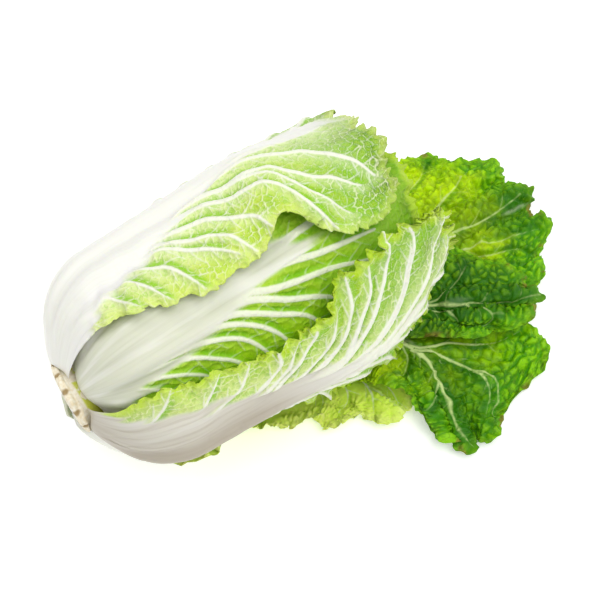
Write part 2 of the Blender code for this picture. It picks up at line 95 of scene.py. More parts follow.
def soft_lamp(name, place, size, power):
    """A square area lamp that looks at the cabbage."""
    lamp = bpy.data.objects.new(name, bpy.data.lights.new(name, "AREA"))
    lamp.data.size = size
    lamp.data.energy = power
    lamp.location = place
    lamp.rotation_euler = (VIEW_CENTRE - Vector(place)).to_track_quat("-Z", "Y").to_euler()
    bpy.context.scene.collection.objects.link(lamp)


for name, lamp in LAMPS.items():
    soft_lamp(name, **lamp)
sky = bpy.data.worlds.new("sky")
sky.use_nodes = True
sky.node_tree.nodes["Background"].inputs["Color"].default_value = (1, 1, 1, 1)
sky.node_tree.nodes["Background"].inputs["Strength"].default_value = SKY_STRENGTH
bpy.context.scene.world = sky
bpy.context.scene.view_settings.view_transform = "Standard"
print(len(LAMPS), "lamps and a sky of strength", SKY_STRENGTH)

# %% [markdown]
# ## Colours and nodes
# Colours are written as the sRGB hex values that a painter would pick, and shaders work in linear
# light, so one function turns the first into the second. One more small function adds a node with its
# settings and its links, and gives back the socket that the next node reads. A finish is then painted
# as a painter does it: a ground, and thin layers over it, each held back by a share.

# %% Colour and node helpers
EASED = dict(interpolation_type="SMOOTHSTEP")
TIMES = dict(operation="MULTIPLY")
OVER = dict(data_type="RGBA", out=2)


def linear(hex_colour):
    """The linear colour, with alpha, of an sRGB hex value."""
    parts = [int(hex_colour[i:i + 2], 16) / 255 for i in (1, 3, 5)]
    return (*[c / 12.92 if c <= 0.04045 else ((c + 0.055) / 1.055) ** 2.4 for c in parts], 1.0)


def add(tree, kind, inputs=None, out=0, **settings):
    """Adds a node and gives back its output. inputs maps a socket to a value, or to the socket it reads."""
    made = tree.nodes.new("ShaderNode" + kind)
    for name, value in settings.items():
        setattr(made, name, value)
    for key, value in (inputs or {}).items():
        if isinstance(value, bpy.types.NodeSocket):
            tree.links.new(value, made.inputs[key])
        else:
            made.inputs[key].default_value = value
    return made.outputs[out]


def paint(tree, ground, layers):
    """Lays colours over a ground. A layer is what carries it, how, and its colour or the socket that has it.

    How is a number or a socket that the carrier is multiplied by, or the range of the carrier over which
    the layer goes from one share to another: (from, to, share there, share here).
    """
    colour = linear(ground) if isinstance(ground, str) else ground
    for carrier, how, over in layers:
        if isinstance(how, tuple):
            share = add(tree, "MapRange", {0: carrier, **dict(enumerate(how, 1))}, **EASED)
        else:
            share = add(tree, "Math", {0: carrier, 1: how}, **TIMES)
        over = linear(over) if isinstance(over, str) else over
        colour = add(tree, "Mix", {0: share, 6: colour, 7: over}, **OVER)
    return colour


def new_material(name):
    """A material with its node tree and its Principled shader, ready for links."""
    made = bpy.data.materials.new(name)
    made.use_nodes = True
    return made, made.node_tree, made.node_tree.nodes["Principled BSDF"]


print("mid grey is", round(linear("#808080")[0], 3), "in linear light")

# %% [markdown]
# ## White ground
# The photograph's ground is burnt out to pure white. More light would do that, but it would bleach the
# white ribs as well, so the board is matt white paint and glows a little of its own. It is large enough
# to fill the view from every side, and it is not part of the cabbage.

# %% Floor
FLOOR_HALF = 4.0
FLOOR_BELOW = 0.0005
FLOOR_GLOW = 0.32

floor_paint, _, floor_shader = new_material("matt_white_board")
floor_shader.inputs["Base Color"].default_value = linear("#fbfbfb")
floor_shader.inputs["Roughness"].default_value = 0.9
floor_shader.inputs["Emission Color"].default_value = (1, 1, 1, 1)
floor_shader.inputs["Emission Strength"].default_value = FLOOR_GLOW
floor_mesh = bpy.data.meshes.new("floor")
floor_mesh.from_pydata(
    [(x * FLOOR_HALF, y * FLOOR_HALF, -FLOOR_BELOW) for x, y in ((-1, -1), (1, -1), (1, 1), (-1, 1))],
    [], [(0, 1, 2, 3)])
floor_mesh.materials.append(floor_paint)
floor = bpy.data.objects.new("floor", floor_mesh)
bpy.context.scene.collection.objects.link(floor)
print("floor", 2 * FLOOR_HALF, "m across")

# %% [markdown]
# ## The head's round
# The head is described in its own coordinates: the way along from the stem, the angle round the axis
# and the depth out from a small ring round it. A leaf is easy to lay in these, because it wraps the
# head as a sheet of paper wraps a bottle. The sizes are the solids' own, so each fine leaf falls where
# its solid is.

# %% Sizes of the head
HEAD_LENGTH = 0.300
AXIS_HEIGHT = 0.0995
RING_RADIUS = 0.027
RING_X = -HEAD_LENGTH / 2 + 0.058
BASE_BEND = 0.050
BASE_ALONG = BASE_BEND * math.pi / 2
LEAF_START = 0.002
BASE_FLARE = 0.003
FLARE_ALONG = 0.024
HEAD_PROFILE = [(0, 0.049), (0.04, 0.049), (0.08, 0.051), (0.13, 0.054), (0.19, 0.056), (0.22, 0.053),
                (0.245, 0.049), (0.265, 0.045), (0.285, 0.039), (0.305, 0.029), (0.325, 0.014),
                (0.36, -0.010)]
print("head", round(HEAD_LENGTH * 1000), "mm long, its axis", round(AXIS_HEIGHT * 1000), "mm up")

# %% Smooth curves


def curve(points, at):
    """A smooth curve through (position, value) points, read at the positions in at."""
    knots, values = np.array(points, float).T
    slopes = np.gradient(values, knots)
    at = np.asarray(at, float)
    i = np.clip(np.searchsorted(knots, at) - 1, 0, len(knots) - 2)
    span = knots[i + 1] - knots[i]
    f = np.clip((at - knots[i]) / span, 0, 1)
    rise = (3 - 2 * f) * f * f
    bend = f * (1 - f) * ((1 - f) * slopes[i] - f * slopes[i + 1]) * span
    return values[i] * (1 - rise) + values[i + 1] * rise + bend


def ease(at, start, end):
    """0 before start and 1 after end, with a smooth change between them."""
    f = np.clip((np.asarray(at, float) - start) / (end - start), 0, 1)
    return f * f * (3 - 2 * f)


def soft_max(a, b, width=0.004):
    """The larger of two heights, rounded off where they meet and never below either."""
    return (a + b + np.sqrt((a - b) ** 2 + width**2)) / 2


def on_head(along, angle, depth):
    """Points at a depth over the head's round, from the way along it and the angle round it in radians."""
    turn = np.minimum(along / BASE_BEND, math.pi / 2)
    straight = np.maximum(along - BASE_ALONG, 0)
    radius = RING_RADIUS + depth * np.sin(turn)
    x = RING_X + straight - depth * np.cos(turn) - BASE_FLARE * (1 - ease(along, 0, FLARE_ALONG))
    return np.stack([x, -radius * np.sin(angle), AXIS_HEIGHT + radius * np.cos(angle)], axis=-1)


print("top of the head's middle", on_head(np.array(0.15), np.array(0.0), curve(HEAD_PROFILE, 0.15)).round(3))

# %% [markdown]
# ## Leaves piled on leaves
# Each leaf has to lie on the ones under it. A cloth simulation could settle them, but it is slow and
# changes with every edit. Here a grid of heights records what already lies there, a smooth cloth is
# drawn over it, and the next leaf starts from that cloth. No leaf can then cross the one beneath.

# %% Grids over the head and the table
ALONG_CELL = 0.0025
ALONG_CELLS = 150
ROUND_CELL = math.radians(2.5)
ROUND_CELLS = 144
TABLE_CELL = 0.003
TABLE_CORNER = np.array([-0.10, -0.21])
TABLE_CELLS = (130, 115)
print("grids of", ALONG_CELLS, "by", ROUND_CELLS, "and", TABLE_CELLS[0], "by", TABLE_CELLS[1], "cells")

# %% The pile
REACH = 5


def cubic_weights(f):
    """The four weights of a smooth curve through neighbouring cells."""
    return [
        ((2 - f) * f - 1) * f / 2,
        ((3 * f - 5) * f * f + 2) / 2,
        ((4 - 3 * f) * f + 1) * f / 2,
        (f - 1) * f * f / 2,
    ]


class Pile:
    """Heights of what has been laid so far, on a grid whose second side may wrap round."""

    def __init__(self, ground, corner, cell, wraps):
        self.heights = np.array(ground, float)
        self.corner = np.array(corner, float)
        self.cell = np.array(cell, float)
        self.wraps = wraps

    def slide(self, grid, steps, side):
        """The grid moved by some cells. Its edge repeats, or wraps round."""
        if side == 1 and self.wraps:
            return np.roll(grid, steps, 1)
        index = np.clip(np.arange(grid.shape[side]) - steps, 0, grid.shape[side] - 1)
        return np.take(grid, index, side)

    def lay(self, a, b, heights):
        """Raises each cell to the highest of the points that fall in it."""
        i = np.round((a.ravel() - self.corner[0]) / self.cell[0]).astype(int)
        j = np.round((b.ravel() - self.corner[1]) / self.cell[1]).astype(int)
        i = np.clip(i, 0, self.heights.shape[0] - 1)
        last = self.heights.shape[1]
        j = j % last if self.wraps else np.clip(j, 0, last - 1)
        np.maximum.at(self.heights, (i, j), heights.ravel())

    def cover(self):
        """A smooth cloth laid over the pile: nowhere below it, and bridging its steps."""
        grid = self.heights
        for side in (0, 1):
            grid = np.max([self.slide(grid, k, side) for k in range(-REACH, REACH + 1)], axis=0)
        half = REACH // 2
        for side in (0, 1, 0, 1):
            grid = np.mean([self.slide(grid, k, side) for k in range(-half, half + 1)], axis=0)
        return Pile(grid, self.corner, self.cell, self.wraps)

    def at(self, a, b):
        """The height at any point, read smoothly between the cells."""
        a, b = np.broadcast_arrays(np.asarray(a, float), np.asarray(b, float))
        fi = (a - self.corner[0]) / self.cell[0]
        fj = (b - self.corner[1]) / self.cell[1]
        i, j = np.floor(fi).astype(int), np.floor(fj).astype(int)
        weights_i, weights_j = cubic_weights(fi - i), cubic_weights(fj - j)
        total = np.zeros(a.shape)
        rows, columns = self.heights.shape
        for m in range(4):
            for n in range(4):
                row = np.clip(i + m - 1, 0, rows - 1)
                column = (j + n - 1) % columns if self.wraps else np.clip(j + n - 1, 0, columns - 1)
                total += weights_i[m] * weights_j[n] * self.heights[row, column]
        return total


# %% Bare piles


def bare_head(heights):
    """A pile over the head's round, from its first heights."""
    return Pile(heights, (0, 0), (ALONG_CELL, ROUND_CELL), wraps=True)


def bare_table():
    """A pile over the table, with nothing on it yet."""
    return Pile(np.zeros(TABLE_CELLS), TABLE_CORNER, (TABLE_CELL, TABLE_CELL), wraps=False)


print("the bare table's height:", bare_table().at(0.0, 0.0))

# %% [markdown]
# ## The leaves' measures
# A leaf is described by the angle and length of its midrib and by how far it spreads to each side.
# Positions on it are shares: u runs from 0 at the stem to 1 at the tip and v from -1 to 1 across. The
# veins that the photograph shows are written as a width in millimetres and a few such positions in
# percent; where a side isn't seen, its veins are grown by a rule further down. Curves drawn by hand
# would do as well, but a table is quicker to mend and says at once which vein is which.

# %% Leaf measures


def leaf(name, angle, length, left, right, **changes):
    """One leaf's measures. left and right are its half-widths, as (share of length, degrees) over the head.

    rib is the height of the midrib at the stem and fullness moves the leaf's natural depth. ruffle is the
    height of the waves at its margin, and lifts are (share of length, side from -1 to 1, spread, height).
    path and spread are for the loose leaves only: the midrib's way over the table and the two half-widths.
    lobe is how deep the margin draws in between its small lobes, lobe_length their spacing, frill how high
    they curl up and frill_right how much more they do on the right. vein_scale widens the veins. grid is
    the fine mesh's rows and columns, seen_from the share of the length where its rows draw close, cell the
    size of its crinkles, grown how many veins the rule adds on each side, and green how green its blade
    is, from 0 to 2, along it and across; past 1 it darkens towards the darkest green, which on loose_leaf_1
    is partly painted shade near the head.
    """
    one = dict(name=name, angle=math.radians(angle), length=length, left=left, right=right, rib=0.0065,
               fullness=0.0, ruffle=0.004, waves=13, phase=0.0, wavy_from=0.1, lifts=(), shoulder=0.16,
               path=None, spread=None, lobe=0.0022, lobe_length=0.0095, frill=0.0055, frill_right=1.0,
               vein_scale=1.0, grid=(150, 80), seen_from=0.25, cell=0.0065, veins=(), grown=(8, 8),
               green=[(0, 0.1), (0.5, 0.3), (1, 0.8)], green_across=0.0, finish="head")
    one.update(changes)
    return SimpleNamespace(**one, kind="loose" if one["path"] else "head")


# %% Veins of the head's leaves


def veins_of(*rows):
    """Veins from rows of a width in mm and then, point by point, percent along and percent across."""
    return [(row[0], [(a / 100, b / 100) for a, b in zip(row[1::2], row[2::2])]) for row in rows]


FAR_VEINS = veins_of(
    (2.3,  10, 2,  30, 6,  48, 12,  64, 16,  78, 14,  90, 10),
    (2.2,  16, 10,  40, 17,  56, 20,  64, 24,  74, 30,  82, 36,  88, 53,  94, 75),
    (2.1,  14, 20,  38, 26,  55, 30,  64, 42,  73, 53,  81, 62,  89, 74),
    (1.3,  62, 40,  69, 56,  76, 72,  83, 89),
    (2.0,  12, 30,  34, 34,  53, 38,  61, 52,  69, 70,  74, 82,  78, 97),
    (1.9,  10, 36,  28, 38,  44, 42,  51, 50,  56, 61,  62, 79,  64, 97),
    (1.7,  8, 40,  22, 42,  39, 46,  46, 57,  54, 76,  58, 96),
    (1.5,  20, 44,  35, 48,  45, 64,  54, 90),
    (1.3,  18, 48,  30, 54,  37, 68,  43, 96),
    (1.1,  14, 52,  25, 60,  31, 76,  35, 96),
    (1.0,  10, 56,  20, 66,  25, 82,  28, 98),
    (0.9,  8, 62,  16, 76,  19, 98),
)
FRONT_VEINS = veins_of(
    (3.0,  5, -14,  24, -9,  37, -8,  50, -11,  60, -15,  72, -18,  90, -20),
    (2.4,  30, -2,  46, -5,  56, -5,  61, -1,  68, 5,  75, 9,  84, 14),
    (2.2,  28, 3,  42, 1,  49, 2,  53, 8,  60, 14,  69, 20,  80, 32),
    (2.2,  26, 6,  40, 4,  46, 5,  51, 12,  57, 24,  63, 33,  72, 50),
    (2.1,  22, 8,  36, 8,  43, 10,  48, 19,  53, 30,  60, 44,  66, 66),
    (1.9,  18, 10,  32, 11,  40, 14,  46, 26,  52, 46,  57, 72),
    (1.7,  15, 12,  28, 14,  35, 19,  43, 34,  49, 60,  53, 85),
    (1.5,  12, 14,  24, 18,  30, 24,  36, 39,  43, 62,  47, 90),
    (1.3,  10, 18,  19, 22,  25, 31,  33, 52,  39, 85),
    (1.2,  6, 20,  14, 25,  20, 36,  26, 56,  31, 85),
)
NEAR_VEINS = veins_of(
    (2.8,  5, 2,  30, 8,  54, 7,  67, 4,  76, 6,  84, 12,  91, 16,  98, 20),
    (1.7,  10, -20,  26, -24,  36, -34,  44, -62,  48, -95),
    (1.8,  14, -16,  32, -20,  41, -28,  50, -58,  57, -86),
    (1.9,  20, -12,  40, -14,  50, -20,  58, -36,  64, -60,  68, -90),
    (2.1,  26, -8,  46, -10,  57, -16,  66, -30,  72, -50,  77, -74,  81, -98),
    (1.5,  60, -20,  65, -42,  70, -60,  73, -85),
    (2.1,  34, -5,  54, -6,  65, -10,  74, -22,  80, -40,  84, -64,  88, -90),
    (2.0,  42, -2,  62, -3,  73, -6,  81, -16,  88, -32,  94, -56,  98, -80),
    (1.6,  56, 1,  72, 2,  82, 0,  90, -8,  97, -24),
    (1.2,  6, -30,  18, -42,  27, -60,  33, -90),
    (1.2,  14, -30,  26, -40,  34, -56,  40, -90),
    (1.3,  30, -22,  39, -32,  46, -52,  52, -88),
    (1.3,  40, -18,  49, -28,  56, -46,  62, -78),
    (1.2,  68, -14,  76, -30,  81, -50,  85, -76),
    (1.0,  4, -40,  12, -56,  19, -74,  23, -98),
)
print(len(FAR_VEINS + FRONT_VEINS + NEAR_VEINS), "veins on the head")

# %% Leaves of the head
HEART_LEAF_SIDE = [(0, 50), (0.3, 55), (0.7, 62), (1, 56)]
HEAD_LEAVES = [
    leaf("inner_leaf_1", 200, 0.300, HEART_LEAF_SIDE, HEART_LEAF_SIDE, rib=0.003, fullness=-0.016, waves=18,
         wavy_from=0.75, finish="inner"),
    leaf("inner_leaf_2", -20, 0.302, HEART_LEAF_SIDE, HEART_LEAF_SIDE, rib=0.004, fullness=-0.016, waves=18,
         phase=1.0, wavy_from=0.75, finish="inner"),
    leaf("inner_leaf_3", 100, 0.304, HEART_LEAF_SIDE, HEART_LEAF_SIDE, rib=0.004, fullness=-0.015, waves=18,
         phase=2.0, wavy_from=0.75, finish="inner"),
    leaf("back_leaf", -120, 0.318, [(0, 48), (0.4, 58), (0.75, 66), (1, 60)],
         [(0, 48), (0.4, 58), (0.75, 70), (1, 64)], rib=0.004, fullness=-0.008, ruffle=0.005, wavy_from=0.6,
         phase=0.6, grid=(190, 112), green=[(0, 0.1), (0.5, 0.4), (0.8, 1.0), (1, 1.6)], finish="back"),
    leaf("front_leaf", 25, 0.304, [(0, 46), (0.4, 56), (0.75, 66), (1, 60)],
         [(0, 46), (0.4, 56), (0.75, 66), (1, 60)], fullness=-0.006, wavy_from=0.65, phase=2.2,
         vein_scale=0.75, grid=(260, 170), veins=FRONT_VEINS, grown=(0, 0),
         green=[(0, 0.2), (0.5, 0.2), (0.8, 0.7), (1, 1.5)], finish="front"),
    leaf("under_leaf", 166, 0.304, [(0, 46), (0.4, 56), (0.75, 60), (1, 54)],
         [(0, 46), (0.4, 56), (0.75, 60), (1, 54)], rib=0.003, fullness=-0.011, ruffle=0.003, wavy_from=0.8,
         phase=1.2, grid=(140, 80), finish="back"),
    leaf("far_leaf", -46, 0.300, [(0, 46), (0.4, 58), (0.75, 66), (1, 56)],
         [(0, 46), (0.14, 46), (0.19, 49), (0.25, 53), (0.33, 59), (0.41, 63), (0.53, 65), (0.59, 62),
          (0.635, 58), (0.68, 55), (0.71, 58), (0.74, 68), (0.78, 74), (0.83, 76), (0.92, 77), (1, 70)],
         ruffle=0.0045, phase=0.3, lifts=((0.68, 0.85, 0.10, 0.010), (0.85, 0.9, 0.12, 0.003)), shoulder=0.04,
         waves=24, lobe=0.0016, grid=(310, 200), cell=0.0052, veins=FAR_VEINS,
         green=[(0, 0.05), (0.6, 0.2), (0.8, 0.7), (1, 1.7)], grown=(9, 0)),
    leaf("near_leaf", 90, 0.322,
         [(0, 40), (0.095, 41), (0.173, 49), (0.265, 47), (0.343, 44), (0.42, 39), (0.55, 39), (0.61, 43),
          (0.65, 51), (0.69, 57), (0.74, 59), (0.79, 58), (0.85, 57), (0.90, 57), (1, 46)],
         [(0, 46), (0.3, 50), (0.45, 44), (0.55, 36), (0.65, 32), (0.9, 31), (1, 40)], fullness=0.001,
         ruffle=0.0045, phase=1.7, shoulder=0.05,
         lifts=((0.70, -0.85, 0.12, 0.008), (0.68, 0.35, 0.20, 0.012), (0.74, 1.0, 0.20, 0.012)),
         waves=24, lobe=0.0062, lobe_length=0.0155, frill=0.0070, frill_right=1.4,
         grid=(310, 176), cell=0.0056, veins=NEAR_VEINS,
         green=[(0, 0.15), (0.5, 0.3), (0.75, 0.8), (1, 1.7)], finish="near", grown=(0, 9)),
]
FRONT_LEAF = next(one for one in HEAD_LEAVES if one.name == "front_leaf")
print("widest half of the front leaf:", max(degrees for _, degrees in FRONT_LEAF.left), "degrees")

# %% Veins of the loose leaves
MIDDLE_RIGHT_VEINS = veins_of(
    (2.4,  0, 0,  60, 0,  79, -2,  86, -6,  93, -8,  99, 0),
    (0.9,  74, 2,  80, 6,  85, 29,  90, 62),
    (1.1,  66, 2,  73, 20,  78, 60,  81, 95),
    (1.2,  76, -4,  82, -28,  87, -62),
    (1.0,  85, -6,  90, -32,  94, -72),
)
LOWER_RIGHT_VEINS = veins_of(
    (5.0,  0, 0,  50, 0,  72, -4,  78, -4,  83, -6),
    (5.0,  64, 0,  70, -2,  75, -4,  81, -5),
    (1.5,  77, -4,  83, -10,  88, -14,  94, -16,  99, -8),
    (1.9,  75.5, 0,  78, 10,  81, 20,  85, 31,  89, 37),
    (1.1,  85, 30,  89, 36,  94, 38),
    (1.1,  85, 31,  88, 42,  93, 46,  98, 52),
    (1.6,  74, 0,  77, 12,  79, 32,  82, 50,  86, 68,  90, 90),
    (1.0,  69, 2,  72, 30,  76, 62,  80, 95),
    (0.9,  72, -6,  77, -36,  81, -80),
    (0.9,  83, -10,  88, -40,  92, -75),
)
BOTTOM_VEINS = veins_of(
    (3.0,  0, 0,  60, 0,  80, 16,  90, 28,  96, 24,  100, 10),
    (1.7,  70, 6,  80, 10,  85, 0,  90, -24,  95, -40),
    (1.4,  60, 0,  72, -2,  79, -20,  84, -50,  87, -80),
    (1.2,  52, 0,  64, -10,  72, -38,  76, -80),
    (1.2,  62, 2,  72, 30,  78, 80),
)
UPPER_RIGHT_VEINS = veins_of(
    (3.4,  0, 0,  60, 0,  84, 3,  88, 2,  92, 4,  97, 9),
    (1.8,  66, 6,  78, 26,  85, 40,  90, 50,  97, 66),
    (1.5,  56, 6,  70, 40,  81, 66,  89, 76,  96, 90),
    (1.3,  44, 5,  58, 36,  70, 72,  78, 96),
    (1.2,  74, -2,  82, -18,  89, -27,  97, -34),
    (1.3,  70, -3,  80, -24,  87, -36,  93, -42,  98, -54),
    (1.2,  66, -4,  78, -30,  88, -46,  96, -62),
    (1.2,  56, -4,  70, -36,  82, -64,  90, -90),
)
for veins in (MIDDLE_RIGHT_VEINS, LOWER_RIGHT_VEINS, BOTTOM_VEINS, UPPER_RIGHT_VEINS):
    print(len(veins), "veins drawn after the photo on a loose leaf")

# %% Loose leaves
LOOSE_SIDE = [(0, 26), (0.2, 32), (0.3, 36)]
LOOSE_LEAVES = [
    leaf("loose_leaf_1", 190, 0.400, LOOSE_SIDE, LOOSE_SIDE, rib=0.0025, fullness=-0.008, ruffle=0.007,
         waves=25, phase=0.5,
         path=[(-0.0755, 0.015), (0.02, -0.014), (0.10, -0.050), (0.150, -0.078), (0.205, -0.112)],
         spread=[(0.095, 0.047, 0.047), (0.20, 0.044, 0.052), (0.28, 0.030, 0.056), (0.336, 0.034, 0.058),
                 (0.363, 0.040, 0.050), (0.40, 0.040, 0.032)],
         lobe=0.0016, frill=0.0040, grid=(220, 120), seen_from=0.60, cell=0.0075, veins=MIDDLE_RIGHT_VEINS,
         # Past 1 its green runs to the darkest green: partly its own, partly painted shade near the head.
         grown=(0, 0), green=[(0, 1.0), (0.7, 1.35), (0.85, 1.7), (1, 1.1)], finish="loose"),
    leaf("loose_leaf_2", 170, 0.385, LOOSE_SIDE, LOOSE_SIDE, rib=0.0025, fullness=-0.008, ruffle=0.007,
         waves=25, phase=1.4, shoulder=0.10,
         path=[(-0.0755, -0.015), (0.01, -0.031), (0.062, -0.050), (0.090, -0.077), (0.098, -0.105),
               (0.095, -0.135), (0.083, -0.183)],
         spread=[(0.095, 0.045, 0.047), (0.20, 0.044, 0.050), (0.276, 0.042, 0.062), (0.305, 0.038, 0.080),
                 (0.325, 0.034, 0.092), (0.337, 0.032, 0.091), (0.347, 0.030, 0.076), (0.359, 0.030, 0.050),
                 (0.369, 0.031, 0.046), (0.385, 0.027, 0.045)],
         lobe=0.0016, frill=0.0040, grid=(220, 130), seen_from=0.60, cell=0.0075, veins=LOWER_RIGHT_VEINS,
         grown=(0, 0), green=[(0, 0.3), (0.7, 0.3), (0.82, 0.6), (0.92, 1.0), (1, 1.1)], finish="loose"),
    leaf("loose_leaf_3", 152, 0.279, [(0, 18), (0.15, 19), (0.25, 24), (0.4, 30)], [(0, 28), (0.4, 34)],
         rib=0.0025, fullness=-0.008, ruffle=0.007, waves=22, lifts=((0.34, -1.0, 0.09, 0.009),), phase=2.6,
         shoulder=0.12, green=[(0, 1.5), (0.35, 1.4), (0.5, 0.2), (0.7, 0.0), (1, 0.4)],
         path=[(-0.0755, -0.040), (-0.02, -0.044), (0.02, -0.055), (0.045, -0.078), (0.054, -0.104),
               (0.052, -0.130)],
         spread=[(0.095, 0.032, 0.044), (0.14, 0.036, 0.044), (0.18, 0.043, 0.044), (0.21, 0.049, 0.043),
                 (0.245, 0.042, 0.036), (0.265, 0.032, 0.030), (0.279, 0.026, 0.026)],
         frill=0.0075, grid=(200, 100), seen_from=0.40, cell=0.006, veins=BOTTOM_VEINS, grown=(0, 0),
         finish="bottom"),
    leaf("loose_leaf_4", 212, 0.438, [(0, 30), (0.2, 36), (0.3, 40)], [(0, 28), (0.2, 34), (0.3, 36)],
         rib=0.0025, fullness=-0.008, ruffle=0.007, waves=26, shoulder=0.13,
         path=[(-0.0755, 0.044), (0.05, 0.014), (0.18, -0.022), (0.266, -0.035)],
         spread=[(0.095, 0.056, 0.040), (0.22, 0.078, 0.070), (0.32, 0.083, 0.080), (0.385, 0.082, 0.080),
                 (0.41, 0.086, 0.078), (0.438, 0.082, 0.072)],
         lobe=0.0016, frill=0.0040, grid=(240, 170), seen_from=0.60, cell=0.0080, veins=UPPER_RIGHT_VEINS,
         grown=(0, 0), green=[(0, 0.0), (0.82, 0.0), (0.88, 0.2), (0.94, 0.75), (1, 1.1)],
         green_across=-0.25, finish="loose"),
]
print(len(HEAD_LEAVES), "leaves on the head and", len(LOOSE_LEAVES), "on the table")

# %% [markdown]
# ## The form of a leaf
# These rules turn a position on a leaf into a place in space. The margin waves more the nearer it comes
# to the edge, the midrib is thick at the stem and thins to a thread, and a loose leaf follows the
# head's round base before it comes down to the table.

# %% Width and waves
EDGE_BAYS = 0.055
FAN_FROM = 0.30
FAN_STRETCH = 3.2
TIP_FROM = 0.45
WAVES_GROW = 0.2


def half_width(one, u, v):
    """Half the leaf's width over the head, in radians, on the side that v is on."""
    degrees = np.where(v < 0, curve(one.left, u), curve(one.right, u))
    return np.radians(degrees) * edge_reach(one, u, v)


def margin(u, v):
    """How near a point is to the leaf's edge: 0 in the middle and 1 at the sides and the tip."""
    return np.clip(np.maximum(np.abs(v), (u - TIP_FROM) / (1 - TIP_FROM)), 0, 1)


def swell(one, u, v):
    """Waves from 0 to 1 that fan out from the midrib, uneven in length."""
    fan = np.arctan2(v, FAN_STRETCH * (u - FAN_FROM))
    return 0.5 + 0.5 * np.sin(one.waves * fan + one.phase + 2.0 * np.sin(3 * fan + one.phase))


def edge_reach(one, u, v):
    """How much of the leaf's full width it has here: the edge draws in between its waves."""
    grow = ease(u, one.wavy_from, one.wavy_from + WAVES_GROW)
    return 1 - EDGE_BAYS * (1 - swell(one, u, np.sign(v))) * grow


def travel_along(one, u, v):
    """The way from the stem to a point of the leaf. The sides end short of the tip, which is wavy too."""
    reach = one.length * (1 - one.shoulder * np.abs(v) ** 2.5)
    reach = reach * (1 - EDGE_BAYS / 2 * (1 - swell(one, np.ones_like(v), v)) * u**4)
    return LEAF_START + u * (reach - LEAF_START)


print("front leaf", round(float(travel_along(FRONT_LEAF, 1.0, 0.0)) * 1000), "mm long over the head's round")

# %% Lift and flesh
WAVES_FROM_MARGIN = 0.45
LIFT_ACROSS = 0.55
BLADE_THICKNESS = 0.0012
RIB_WIDTHS = [(0, 1.0), (0.15, 0.80), (0.45, 0.42), (0.8, 0.16), (1, 0.10)]
RIB_HEIGHTS = [(0, 1.0), (0.08, 1.0), (0.5, 0.62), (0.85, 0.22), (1, 0.08)]


def ruffle(one, u, v):
    """How far the waves lift the leaf outwards. They grow towards the edge."""
    grow = ease(margin(u, v), WAVES_FROM_MARGIN, 1.0)
    grow = grow * ease(u, one.wavy_from, one.wavy_from + WAVES_GROW)
    lift = one.ruffle * swell(one, u, v) * grow
    for share, side, spread, height in one.lifts:
        lift = lift + height * np.exp(-(((u - share) / spread) ** 2) - ((v - side) / LIFT_ACROSS) ** 2)
    if one.path:
        lift = lift * free_of_head(*face_over_table(one, u, v))
    return lift


def thickness(one, u, v):
    """The flesh: a thin blade, and a midrib as wide as the leaf at the stem that narrows to a thread."""
    across = np.clip(np.abs(v) / np.interp(u, *zip(*RIB_WIDTHS)), 0, 1)
    return BLADE_THICKNESS + one.rib * np.interp(u, *zip(*RIB_HEIGHTS)) * (1 - across**2) ** 2


def natural_depth(one, along):
    """The depth a leaf keeps of its own accord, where nothing under it pushes it out."""
    return curve(HEAD_PROFILE, along) + one.fullness


print("front leaf", round(float(thickness(FRONT_LEAF, 0.1, 0.0)) * 1000, 1), "mm thick at its rib")

# %% A leaf on the head
LEAF_GAP = 0.0009


def over_head(one, u, v):
    """The leaf's place on the head: the way along, the angle, and the depths of its inner and outer face."""
    along = travel_along(one, u, v)
    angle = one.angle + half_width(one, u, v) * v
    inner = soft_max(one.cover.at(along, angle) + LEAF_GAP, natural_depth(one, along)) + ruffle(one, u, v)
    return along, angle, inner, inner + thickness(one, u, v)


def leaf_shares(rows, columns):
    """The rows and columns of a leaf's mesh, as shares of its length and sides from -1 to 1."""
    return np.meshgrid(np.linspace(0, 1, rows + 1), np.linspace(-1, 1, columns + 1), indexing="ij")


print("leaves lie", LEAF_GAP * 1000, "mm apart")

# %% [markdown]
# ## A leaf on the table
# A loose leaf is still joined at the stem, so it follows the head's round base with the others. Then it
# sinks to the table, where a path drawn from the photograph leads its midrib. The head's weight presses
# it flat, and only beyond the head is it free to wave.

# %% Path over the table
ROUND_END_ALONG = 0.095
PATH_POINTS = 200


def path_over_table(one, travel):
    """The midrib's way over the table: its points and its headings, after some travel from the stem."""
    knots = np.array(one.path, float)
    steps = np.concatenate([[0], np.cumsum(np.linalg.norm(np.diff(knots, axis=0), axis=1))])
    share = np.linspace(0, steps[-1], PATH_POINTS)
    line = np.stack([curve(np.column_stack([steps, knots[:, k]]), share) for k in (0, 1)], axis=1)
    real = np.concatenate([[0], np.cumsum(np.linalg.norm(np.diff(line, axis=0), axis=1))])
    heading = np.gradient(line, real, axis=0)
    gone = (travel - ROUND_END_ALONG) * real[-1] / (one.length - ROUND_END_ALONG)
    x, y, hx, hy = [np.interp(gone, real, column) for column in (*line.T, *heading.T)]
    before = np.minimum(gone, 0)
    return x + before * heading[0, 0], y + before * heading[0, 1], hx, hy


def face_over_table(one, u, v):
    """Where the loose leaf lies seen from above, in x and y."""
    travel = travel_along(one, u, v)
    x, y, hx, hy = path_over_table(one, travel)
    spread = np.array(one.spread)
    width = np.where(v < 0, curve(spread[:, [0, 1]], travel), curve(spread[:, [0, 2]], travel))
    width = width * edge_reach(one, u, v)
    return x - v * width * hy, y + v * width * hx


for one in LOOSE_LEAVES:
    reach = np.hypot(*face_over_table(one, np.array(1.0), np.array(0.0)))
    print(one.name, "ends", round(float(reach) * 1000), "mm from the middle of the head")

# %% From the head's round down to the table
SWAP_ALONG = (0.080, 0.112)
SETTLE_X = (-0.075, -0.016)
SIDE_REACH = 0.93
PRESSED_Y = (0.050, 0.085)
PRESSED_X = (0.085, 0.125)
HUG_ROUNDS = 5
HUG_DEPTH = HEAD_PROFILE[3][1]


